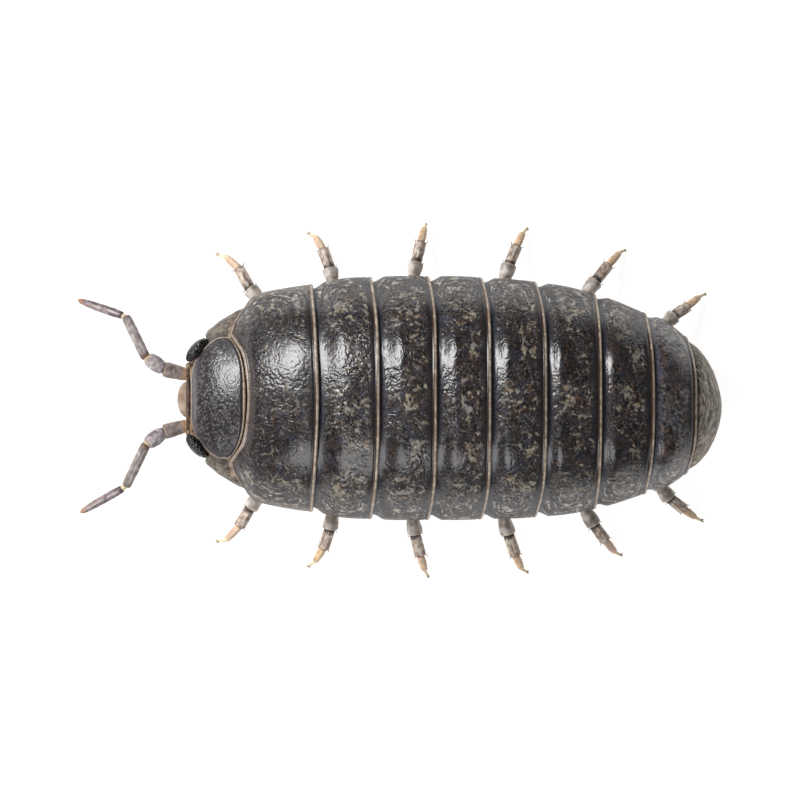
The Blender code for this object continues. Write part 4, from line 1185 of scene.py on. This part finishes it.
def make_feeler(side_name):
    hand = 1.0 if side_name == "right" else -1.0
    pts = [[plan(*p) for p in art] for art in FEELERS[side_name]]

    def first(t, w, q):
        c = blend(tone(150, 134, 128), tone(106, 92, 88), 0.5 + 1.2 * noise(q * 6.0, 121))
        c = blend(c, tone(160, 150, 146), 0.4 * step(noise(q * 9.0, 122), 0.15, 0.4))
        c = blend(c, tone(172, 138, 110), 0.9 * (1 - step(t, 0.16, 0.30)))
        return blend(c, tone(150, 132, 112), 0.8 * step(t, 0.93, 0.98))

    def second(t, w, q):
        c = blend(tone(172, 162, 164), tone(116, 103, 107), 0.5 + 1.3 * noise(q * 5.0, 123))
        c = blend(c, tone(198, 190, 186), 0.6 * step(noise(q * 8.0, 124), 0.12, 0.4))
        c = blend(c, tone(40, 32, 30), 0.9 * (1 - step(t, 0.05, 0.11)))
        return blend(c, tone(178, 156, 124), 0.7 * step(t, 0.92, 0.98))

    def third(t, w, q):
        c = blend(tone(172, 163, 161), tone(126, 116, 112), 0.5 + 1.2 * noise(q * 6.0, 125))
        line = bell(np.sin(w) - 0.9, 0, 0.10) * (np.cos(w) * hand > 0)
        c = blend(c, tone(74, 62, 60), 0.7 * bell(np.cos(w) * hand + 0.15 + 0.2 * noise(q * 3, 7), 0, 0.16) * (np.sin(w) > 0))
        c = blend(c, tone(204, 196, 190), 0.6 * bell(np.cos(w) * hand - 0.25, 0, 0.10) * (np.sin(w) > 0) * step(noise(q * 7, 8), -0.3, 0.2))
        c = blend(c, tone(104, 74, 58), 0.85 * (1 - step(t, 0.03, 0.14)))
        c = blend(c, tone(96, 80, 72), 0.6 * step(t, 0.86, 0.97))
        return c + 0 * line[..., None]

    def fourth(t, w, q):
        c = blend(tone(142, 124, 126), tone(92, 77, 82), 0.5 + 1.2 * noise(q * 6.0, 126))
        c = blend(c, tone(232, 224, 224), 0.80 * bell(np.cos(w) * hand - 0.05 + 0.12 * noise(q * 4, 127), 0, 0.13)
                  * (np.sin(w) > 0) * step(noise(q * 5.0, 128), -0.4, 0.1))
        c = blend(c, tone(186, 160, 150), 0.6 * bell(np.cos(w) * hand + 0.5, 0, 0.25) * (np.sin(w) > 0) * step(t, 0.2, 0.5))
        c = blend(c, tone(60, 44, 46), 0.8 * (1 - step(t, 0.03, 0.10)))
        c = blend(c, tone(172, 126, 92), 0.85 * step(t, 0.80, 0.97))
        return c
    parts = [
        rod(*pts[0], ((0, 0.19), (0.1, 0.215), (0.35, 0.235), (0.8, 0.255), (0.94, 0.248), (1, 0.20)), first, 60, 40, rough=0.005, seed=5),
        rod(*pts[1], ((0, 0.14), (0.06, 0.19), (0.16, 0.225), (0.5, 0.258), (0.82, 0.235), (0.94, 0.19), (1, 0.14)), second, 60, 40,
            rough=0.007, seed=6),
        rod(*pts[2], ((0, 0.11), (0.03, 0.15), (0.12, 0.168), (0.6, 0.170), (0.9, 0.160), (0.975, 0.145), (1, 0.11)), third, 100, 36,
            rough=0.004, seed=7, bend=0.03),
        rod(*pts[3], ((0, 0.09), (0.03, 0.124), (0.25, 0.142), (0.6, 0.136), (0.85, 0.108), (0.96, 0.078), (1, 0.035)), fourth, 110, 32,
            rough=0.004, seed=8, bend=0.02),
        rod(pts[2][1] - (pts[2][1] - pts[2][0]) * 0.04, pts[3][0] + (pts[3][1] - pts[3][0]) * 0.03,
            ((0, 0.085), (0.5, 0.092), (1, 0.085)), flat_tone(tone(214, 194, 160)), 14, 24, rough=0.002),
        rod(pts[1][1] - (pts[1][1] - pts[1][0]) * 0.12, pts[2][0] + (pts[2][1] - pts[2][0]) * 0.04,
            ((0, 0.13), (0.5, 0.125), (1, 0.11)), flat_tone(tone(206, 182, 146)), 14, 24, rough=0.002),
        rod(pts[0][1] - (pts[0][1] - pts[0][0]) * 0.10, pts[1][0] + (pts[1][1] - pts[1][0]) * 0.12,
            ((0, 0.13), (0.5, 0.12), (1, 0.12)), flat_tone(tone(52, 40, 36)), 14, 24, rough=0.002),
    ]
    piece("feeler_" + side_name, parts, LIMB,
          ["antenna_%s_%d" % (side_name, k) for k in (1, 2, 3, 4)], gloss=0.40)
    gen = np.random.default_rng(31 if hand > 0 else 32)
    hairs = []
    for k, (count, length) in enumerate(((5, 0.07), (9, 0.08), (34, 0.055), (64, 0.05))):
        a, b = pts[k]
        axis = (b - a) / np.linalg.norm(b - a)
        side = np.cross(axis, [0, 0, 1.0])
        side /= np.linalg.norm(side)
        top = np.cross(side, axis)
        prof = (0.25, 0.25, 0.167, 0.118)[k]
        for _ in range(count):
            t = gen.uniform(0.08, 0.97)
            w = gen.uniform(0, 2 * math.pi)
            r = prof * (1 if k < 3 else (1.08 - 0.55 * t ** 2.5))
            out = math.cos(w) * side + math.sin(w) * top
            p = a + (b - a) * t + out * r * 0.9
            hairs.append(spike(p, p + (out * 0.75 + axis * 0.8) * length * gen.uniform(0.6, 1.2), r=0.006,
                               colour=tone(132, 110, 96)))
    a, b = pts[1]
    knob = plan(156.6, 355.8, 1.98) if hand > 0 else plan(156.4, 446.2, 1.98)
    hairs.append(spike((a + b) / 2 * 0.4 + knob * 0.6, knob, r=0.016))
    tip = pts[3][1]
    axis = (tip - pts[3][0]) / np.linalg.norm(tip - pts[3][0])
    for off in (-0.012, 0.0, 0.012):
        hairs.append(spike(tip - axis * 0.02 + np.array([0, off, 0]), tip + axis * 0.045 + np.array([0, off * 1.4, 0]), r=0.006,
                           colour=tone(150, 110, 78)))
    piece("feeler_hairs_" + side_name, hairs, BRISTLE)


make_feeler("right")
make_feeler("left")

# ------------------------------------------------------------------- legs
LEG_ROOT = (283.0, 347.0, 405.0, 461.0, 516.0, 572.0, 626.0)
LEGS = {
    "right": (((258, 298), (250, 289), (238, 268), (225, 256), (216, 254)),
              ((332, 279), (330, 269), (322.5, 249), (315, 236), (307.6, 233)),
              ((414, 274), (416, 263), (421, 241.5), (424.5, 227), (426, 223)),
              None,
              ((505, 278), (509.5, 264.5), (517, 245.5), (523.5, 232), (527.6, 227.5)),
              ((587, 292), (596, 281), (609, 264.5), (620.5, 252), (626, 249)),
              ((668, 322), (674, 316), (688.5, 306), (700.5, 296.5), (706.6, 293))),
    "left": (((258, 497), (250, 507.5), (239, 526.5), (225.5, 540.5), (216, 541.4)),
             ((332, 516), (330, 528.5), (323, 549), (314.7, 562), (307.7, 566.8)),
             ((413, 520), (415, 534), (420.5, 556), (425, 571.5), (428, 577.8)),
             None,
             ((504, 519), (508.5, 534), (516, 556), (522, 569.5), (528, 573.5)),
             ((586, 511), (594.5, 525), (606, 541), (616, 553), (622.5, 556.3)),
             ((662, 488.5), (670, 498), (685, 509.7), (696.6, 518), (703.8, 521.9))),
}
LEG_Z = (0.98, 0.86, 0.52, 0.20)
BAY_SLOPE = (0.514, -0.857)


def make_leg(side_name, k):
    hand = 1.0 if side_name == "right" else -1.0
    marks = LEGS[side_name][k]
    root_px = LEG_ROOT[k]
    full = float(half_width_at(root_px))
    y0 = 0.55 * full * UNIT + 0.05 * BAY_SLOPE[0] - 0.10 * BAY_SLOPE[0]
    z0 = 1.70 + 0.80 * (0.55 - 0.42) / 0.33 + 0.05 * BAY_SLOPE[1] - 0.10 * BAY_SLOPE[1]

    def off(px, side_mm, z):
        return place(px, hand * side_mm / UNIT, z)
    root = off(root_px, y0, z0)
    knee = off(root_px, y0 + 0.50 * BAY_SLOPE[0], z0 + 0.50 * BAY_SLOPE[1])
    if marks is None:
        s0, s1, s2, s3 = off(root_px + 1, 3.02, 1.18), off(root_px + 3, 3.40, 0.80), off(root_px + 9, 3.54, 0.42), off(root_px + 14, 3.56, 0.17)
        tip = off(root_px + 19, 3.56, 0.012)
    else:
        s0, s1, s2, s3 = [plan(p[0], p[1], z) for p, z in zip(marks, (0.98, 0.84, 0.46, 0.14))]
        tip = plan(marks[4][0], marks[4][1], 0.012)
    seed = 10 * k + (0 if hand > 0 else 70)
    gen = np.random.default_rng(500 + seed)
    warm = gen.uniform(0, 1)

    def thigh(t, w, q):
        return blend(tone(186, 172, 150), tone(150, 134, 116), 0.5 + noise(q * 5.0, seed + 1))

    def a1(t, w, q):
        c = blend(tone(214, 204, 198), tone(148, 138, 128), 0.5 + 1.2 * noise(q * 5.0, seed + 2))
        c = blend(c, tone(96, 84, 80), 0.45 * bell(np.cos(w) * hand - 0.35, 0, 0.3) * (np.sin(w) > 0))
        c = blend(c, tone(206, 182, 144), 0.7 * step(t, 0.90, 0.97))
        return c

    def a2(t, w, q):
        c = blend(tone(222, 206, 190), tone(156, 134, 120), 0.5 + 1.1 * noise(q * 7.0, seed + 3))
        streak = noise(np.stack([np.cos(w) * 4.0, t * 1.3, np.zeros_like(t) + seed], -1), 4)
        c = blend(c, tone(86, 66, 58), 0.75 * step(streak, 0.08, 0.3))
        c = blend(c, tone(232, 222, 210), 0.65 * bell(np.cos(w) + 0.1, 0, 0.16) * (np.sin(w) > 0) * step(noise(q * 5, 5), -0.3, 0.2))
        c = blend(c, tone(44, 34, 34), 0.92 * (1 - step(t + 0.10 * noise(q * 9, 6), 0.10, 0.26)))
        c = blend(c, tone(112, 78, 58), 0.7 * step(t, 0.86, 0.95))
        return c

    def a3(t, w, q):
        base = blend(tone(228, 192, 144), tone(224, 188, 170), np.full_like(t, warm))
        c = blend(base, base * 0.62, 0.4 + 1.1 * noise(q * 6.0, seed + 4) + 0.5 * noise(q * 17.0, seed + 9))
        c = blend(c, tone(240, 226, 198), 0.6 * bell(np.cos(w) * hand - 0.2, 0, 0.25) * (np.sin(w) > 0))
        c = blend(c, tone(150, 100, 62), 0.6 * (1 - step(t, 0.02, 0.14)))
        return blend(c, tone(238, 220, 184), 0.7 * step(t, 0.88, 1.0))
    ax2 = (s2 - s1) / np.linalg.norm(s2 - s1)
    ax3 = (s3 - s2) / np.linalg.norm(s3 - s2)
    wide = 1.0 if k < 6 else 0.88
    parts = [
        rod(root, knee, ((0, 0.24), (0.5, 0.25), (1, 0.20)), thigh, 20, 24, seed=seed),
        rod(knee, s0 + (s1 - s0) * 0.10, ((0, 0.19), (0.2, 0.215), (0.8, 0.22), (1, 0.15)), thigh, 36, 28, seed=seed + 1, bend=-0.05),
        rod(s0 - (s1 - s0) * 0.25, s1, ((0, 0.16), (0.2, 0.205), (0.7, 0.255), (0.92, 0.262), (0.985, 0.235), (1, 0.17)), a1, 50, 40,
            seed=seed + 2, rough=0.006),
        rod(s1 - ax2 * 0.05, s2, ((0, 0.13), (0.06, 0.165), (0.15, 0.185), (0.5, 0.190), (0.9, 0.195), (0.97, 0.175), (1, 0.12)), a2, 60, 36,
            seed=seed + 3, rough=0.004, bend=0.01),
        rod(s2 - ax3 * 0.05, s3, ((0, 0.10), (0.06, 0.125), (0.4, 0.130), (0.85, 0.108), (0.97, 0.085), (1, 0.05)), a3, 56, 30,
            seed=seed + 4, rough=0.003, bend=0.02, floor=0.0),
    ]
    if wide < 1:
        parts = [(v if i < 2 else v, q, t, c) for i, (v, q, t, c) in enumerate(parts)]
    piece("limb_%s_%d" % (side_name, k + 1), parts, LIMB, ["leg_%s_%d" % (side_name, k + 1)], gloss=0.42)
    # claw: pale stem and two dark-tipped hooks
    tip = tip + (tip - s3) / np.linalg.norm(tip - s3) * 1.6 * UNIT * np.array([1, 1, 0])
    reach = tip - s3
    length = np.linalg.norm(reach)
    ahead = reach / length
    cross = np.cross(ahead, [0, 0, 1.0])
    cross /= np.linalg.norm(cross)

    def pale(t, w, q):
        return blend(tone(246, 234, 204), tone(222, 200, 156), 0.4 + noise(q * 9.0, 131))

    def hook(t, w, q):
        return blend(np.broadcast_to(tone(222, 204, 160), t.shape + (3,)), np.broadcast_to(tone(92, 70, 58), t.shape + (3,)), step(t, 0.40, 0.70))
    stem_end = s3 + reach * 0.60
    claw = [rod(s3 - ahead * 0.05, stem_end, ((0, 0.058), (0.3, 0.060), (1, 0.040)), pale, 18, 18, rough=0.001, floor=0.0),
            rod(stem_end - ahead * 0.02, tip - np.array([0, 0, 0.006]), ((0, 0.040), (0.5, 0.034), (0.85, 0.022), (1, 0.008)), hook, 14, 14, rough=0.0, bend=0.015,
                floor=0.0),
            rod(stem_end - ahead * 0.02, stem_end + (ahead * 0.8 + cross * 0.62 * hand) * (length * 0.36) + np.array([0, 0, -0.01]),
                ((0, 0.030), (0.5, 0.026), (0.85, 0.017), (1, 0.006)), hook, 12, 12, rough=0.0, floor=0.0)]
    piece("claw_%s_%d" % (side_name, k + 1), claw, LIMB, gloss=0.36)
    # spines at the article ends and bristles below
    hairs = []
    cross2 = np.cross(ax2, [0, 0, 1.0])
    cross2 /= np.linalg.norm(cross2)
    up2 = np.cross(cross2, ax2)
    for sgn in (1, -1):
        p = s2 - ax2 * 0.03 + cross2 * sgn * 0.155
        hairs.append(spike(p, p + (ax2 * 0.8 + cross2 * sgn * 0.55) * gen.uniform(0.13, 0.19), r=0.016))
        p = s1 + ax2 * 0.02 + cross2 * sgn * 0.20
        hairs.append(spike(p, p + (ax2 * 0.75 + cross2 * sgn * 0.7) * gen.uniform(0.08, 0.15), r=0.013,
                           colour=tone(120, 92, 66)))
        p = s3 - ax3 * 0.10 + cross2 * sgn * 0.075
        hairs.append(spike(p, p + (ax3 * 0.8 + cross2 * sgn * 0.5) * 0.08, r=0.009, colour=tone(120, 86, 60)))
    for _ in range(16):
        t = gen.uniform(0.1, 0.95)
        w = gen.uniform(-2.9, -0.25)
        out = math.cos(w) * cross2 + math.sin(w) * up2
        p = s1 + (s2 - s1) * t + out * 0.175
        if p[2] - 0.05 > 0.02:
            hairs.append(spike(p, p + (out * 0.8 + ax2 * 0.6) * gen.uniform(0.05, 0.10), r=0.008, colour=tone(120, 92, 66)))
    for _ in range(14):
        t = gen.uniform(0.1, 0.9)
        w = gen.uniform(-3.1, 0.0)
        out = math.cos(w) * cross2 + math.sin(w) * up2
        p = s2 + (s3 - s2) * t + out * (0.118 - 0.03 * t)
        q = p + (out * 0.7 + ax3 * 0.7) * gen.uniform(0.04, 0.07)
        if q[2] > 0.006:
            hairs.append(spike(p, q, r=0.007, colour=tone(150, 112, 74)))
    p = s3 - ax3 * 0.25
    hairs.append(spike(p + cross2 * 0.08, p + cross2 * 0.13 + ax3 * 0.05, r=0.009))
    hairs.append(spike(s2 + (s3 - s2) * 0.35 + cross2 * 0.10 * hand, s2 + (s3 - s2) * 0.42 + cross2 * 0.17 * hand, r=0.009))
    piece("spines_%s_%d" % (side_name, k + 1), hairs, BRISTLE, gloss=0.4)


for side_name in ("right", "left"):
    for k in range(7):
        make_leg(side_name, k)


# ------------------------------------------------------------------ belly
def make_belly(name, x0, x1):
    n = int((x1 - x0) * 1.1 * (0.6 if COARSE < 1 else 1))
    xs = np.linspace(x0, x1, n)
    half = half_width_at(xs) * 1.0
    w = np.linspace(-1, 1, int(150 * COARSE))
    rows_low, rows_top, cols = [], [], []
    joints = np.array([316.5, 377.7, 434.2, 489.0, 544.5, 600.0, 653.0])
    for x, hf in zip(xs, half):
        fade = float(step(x, 640, 685))
        crown = float(crown_at(x)) - 0.62
        bay = min(2.50 - 0.35 * fade, crown - 0.30)
        side = w * 0.84 * hf
        sh = np.abs(side) / hf
        z = 1.70 + 0.06 * fade + (bay - 1.70) * step(sh, 0.36, 0.80)
        dj = float(np.min(np.abs(joints - x)))
        z = z - 0.05 * (1 - float(step(dj, 3, 11))) * 0 + 0.05 * math.exp(-(dj / 2.2) ** 2) * (sh < 0.6)
        ridge = 0.03 * math.sin((x - 300) / 55.0 * 2 * math.pi)
        z = z - ridge * (1 - step(sh, 0.3, 0.6))
        z = z + 0.012 * np.abs(noise(np.stack([np.full_like(side, x / 4.0), side / 9.0, np.zeros_like(side)], -1), 141))
        z = z + 0.02 * np.exp(-(side / 3.0) ** 2)
        rows_low.append(place(x, side, z))
        top = place(x, side * 0.99, np.minimum(bay + 0.25, crown))
        rows_top.append(top)
    low, top = np.array(rows_low), np.array(rows_top)[:, ::6]
    verts, polys = pillow(low, top)
    P = low / UNIT
    sh = np.abs(P[..., 1]) / np.asarray(half)[:, None]
    c = blend(tone(196, 184, 164), tone(150, 136, 118), 0.5 + 1.1 * noise(P / 9.0, 142))
    c = blend(c, tone(120, 108, 98), 0.4 * step(noise(P / 3.0, 143), 0.15, 0.45))
    dj = np.min(np.abs(joints[None, :] - xs[:, None]), axis=1)[:, None]
    c = blend(c, tone(224, 212, 190), 0.5 * bell(dj, 0, 3.5) * np.ones_like(sh))
    c = blend(c, tone(134, 118, 102), 0.6 * step(sh, 0.5, 0.8))
    cols = np.concatenate([c.reshape(-1, 3), np.broadcast_to(tone(150, 136, 118), (top.shape[0] * top.shape[1], 3))])
    obj = build(name, verts, polys, cols, pillow_uv(low.shape[0], low.shape[1], top.shape[0], top.shape[1]),
                np.full(len(verts), 0.5))
    obj.data.materials.append(BELLY)
    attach(obj, "root")
    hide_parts("trunk")


make_belly("belly_front", 252.0, 461.5)
make_belly("belly_rear", 461.0, 691.0)


# ----------------------------------------------------- gills, tail limbs
def scale_plate(centre_px, centre_side, length, width, z0, z1, thick, colour, turn=0.0):
    """Thin rounded plate, its front end at z0 and rear end at z1."""
    rows, sides = 24, 48
    u = np.linspace(0, 1, rows)
    w = np.linspace(0, 2 * math.pi, sides, endpoint=False)
    q = []
    for k, s in enumerate(np.concatenate([u[1:], u[1:][::-1][1:]])):
        under = k >= rows - 1
        x = np.cos(w) * s * length / 2
        y = np.sign(np.sin(w)) * np.abs(np.sin(w)) ** 0.8 * s * width / 2
        z = z0 + (z1 - z0) * (x / length + 0.5) + (-1 if under else 1) * thick / 2 * math.sqrt(max(1 - s ** 2, 0))
        ct, st = math.cos(turn), math.sin(turn)
        q.append(place(centre_px + x * ct - y * st, centre_side + x * st + y * ct, z))
    q = np.array(q)
    mid_z = (z0 + z1) / 2
    ends = np.array([place(centre_px, centre_side, mid_z + thick / 2), place(centre_px, centre_side, mid_z - thick / 2)])
    n = q.shape[0] * sides
    quads = grid_faces(q.shape[0], sides, wrap=True)
    i = np.arange(sides)
    j = (i + 1) % sides
    tris = np.concatenate([np.stack([np.full(sides, n), j, i], -1), np.stack([np.full(sides, n + 1), n - sides + i, n - sides + j], -1)])
    verts = np.concatenate([q.reshape(-1, 3), ends])
    col = colour(verts)
    return verts, quads, tris, col


def make_tail_limbs():
    def white(p):
        return blend(tone(214, 204, 184), tone(176, 160, 136), 0.5 + noise(p * 4.0, 151))

    def tan(p):
        return blend(tone(170, 150, 122), tone(112, 92, 74), 0.5 + noise(p * 4.0, 152))
    scales = []
    for k, (px, half) in enumerate(((646, 36), (656, 33), (666, 30), (676, 26), (685, 21))):
        for hand in (1.0, -1.0):
            scales.append(scale_plate(px, hand * half * 0.5, 19, half * 0.98, 1.60 - 0.0 * k, 1.40 + 0.015 * k, 0.05, white, turn=-0.12 * hand))
    piece("gill_plates", scales, GILL, ["pleopods"], gloss=0.42)
    for name, hand in (("uropod_right", 1.0), ("uropod_left", -1.0)):
        blade = scale_plate(702.5, hand * 27.0, 15, 12, 1.56, 1.55, 0.16, tan, turn=-0.35 * hand)
        stem = rod(place(690.0, hand * 29.0, 1.60), place(698.0, hand * 28.5, 1.58), ((0, 0.12), (0.5, 0.14), (1, 0.10)),
                   lambda t, w, q: tan(q), 16, 20, seed=9)
        piece("tail_limb_" + name.split("_")[1], [blade, stem], LIMB, [name], gloss=0.42)


make_tail_limbs()

# ------------------------------------------------------ stage, light, lens
scene = bpy.context.scene
floor_mesh = bpy.data.meshes.new("floor")
F = 0.35
floor_mesh.from_pydata([(-F, -F, 0), (F, -F, 0), (F, F, 0), (-F, F, 0)], [], [(0, 1, 2, 3)])
floor = bpy.data.objects.new("floor", floor_mesh)
scene.collection.objects.link(floor)
fm = bpy.data.materials.new("floor_white")
fm.use_nodes = True
fm.node_tree.nodes["Principled BSDF"].inputs["Base Color"].default_value = (0.38, 0.38, 0.38, 1)
fm.node_tree.nodes["Principled BSDF"].inputs["Roughness"].default_value = 0.9
fm.node_tree.nodes["Principled BSDF"].inputs["Specular IOR Level"].default_value = 0.1
fm.node_tree.nodes["Principled BSDF"].inputs["Emission Color"].default_value = (1, 1, 1, 1)
fm.node_tree.nodes["Principled BSDF"].inputs["Emission Strength"].default_value = 0.90
floor_mesh.materials.append(fm)

world = bpy.data.worlds.new("studio")
world.use_nodes = True
world.node_tree.nodes["Background"].inputs["Color"].default_value = (1, 1, 1, 1)
world.node_tree.nodes["Background"].inputs["Strength"].default_value = 0.12
scene.world = world


def softbox(name, where, size, power, shape="RECTANGLE", size_y=None, aim=(0, 0, 0.003)):
    light = bpy.data.lights.new(name, "AREA")
    light.shape = shape
    light.size = size
    if size_y:
        light.size_y = size_y
    light.energy = power
    obj = bpy.data.objects.new(name, light)
    scene.collection.objects.link(obj)
    obj.location = where
    d = np.array(aim) - np.array(where)
    import mathutils
    obj.rotation_mode = "QUATERNION"
    obj.rotation_quaternion = mathutils.Vector(d).to_track_quat("-Z", "Y")
    return obj


softbox("key", (-0.074, 0.047, 0.080), 0.062, 0.140, size_y=0.040)
softbox("fill", (-0.034, -0.078, 0.070), 0.080, 0.052, size_y=0.056)

cam_data = bpy.data.cameras.new("camera")
cam = bpy.data.objects.new("camera", cam_data)
scene.collection.objects.link(cam)
scene.camera = cam
cam_data.lens = 500.0
cam_data.sensor_width = 36.0
VIEW_WIDTH = 800.0 * UNIT * 0.001
REF_Z = 0.0018
dist = VIEW_WIDTH / 2 / (18.0 / 500.0)
cx = (400.0 - PLAN_CENTRE[0]) * UNIT * 0.001
cy = (PLAN_CENTRE[1] - 400.0) * UNIT * 0.001
cam.location = (cx, cy, REF_Z + dist)
cam.rotation_euler = (0, 0, 0)
cam_data.clip_start, cam_data.clip_end = 0.001, 5.0
cam_data.dof.use_dof = False
scene.view_settings.view_transform = "Standard"
scene.view_settings.look = "None"
scene.view_settings.exposure = 0.0
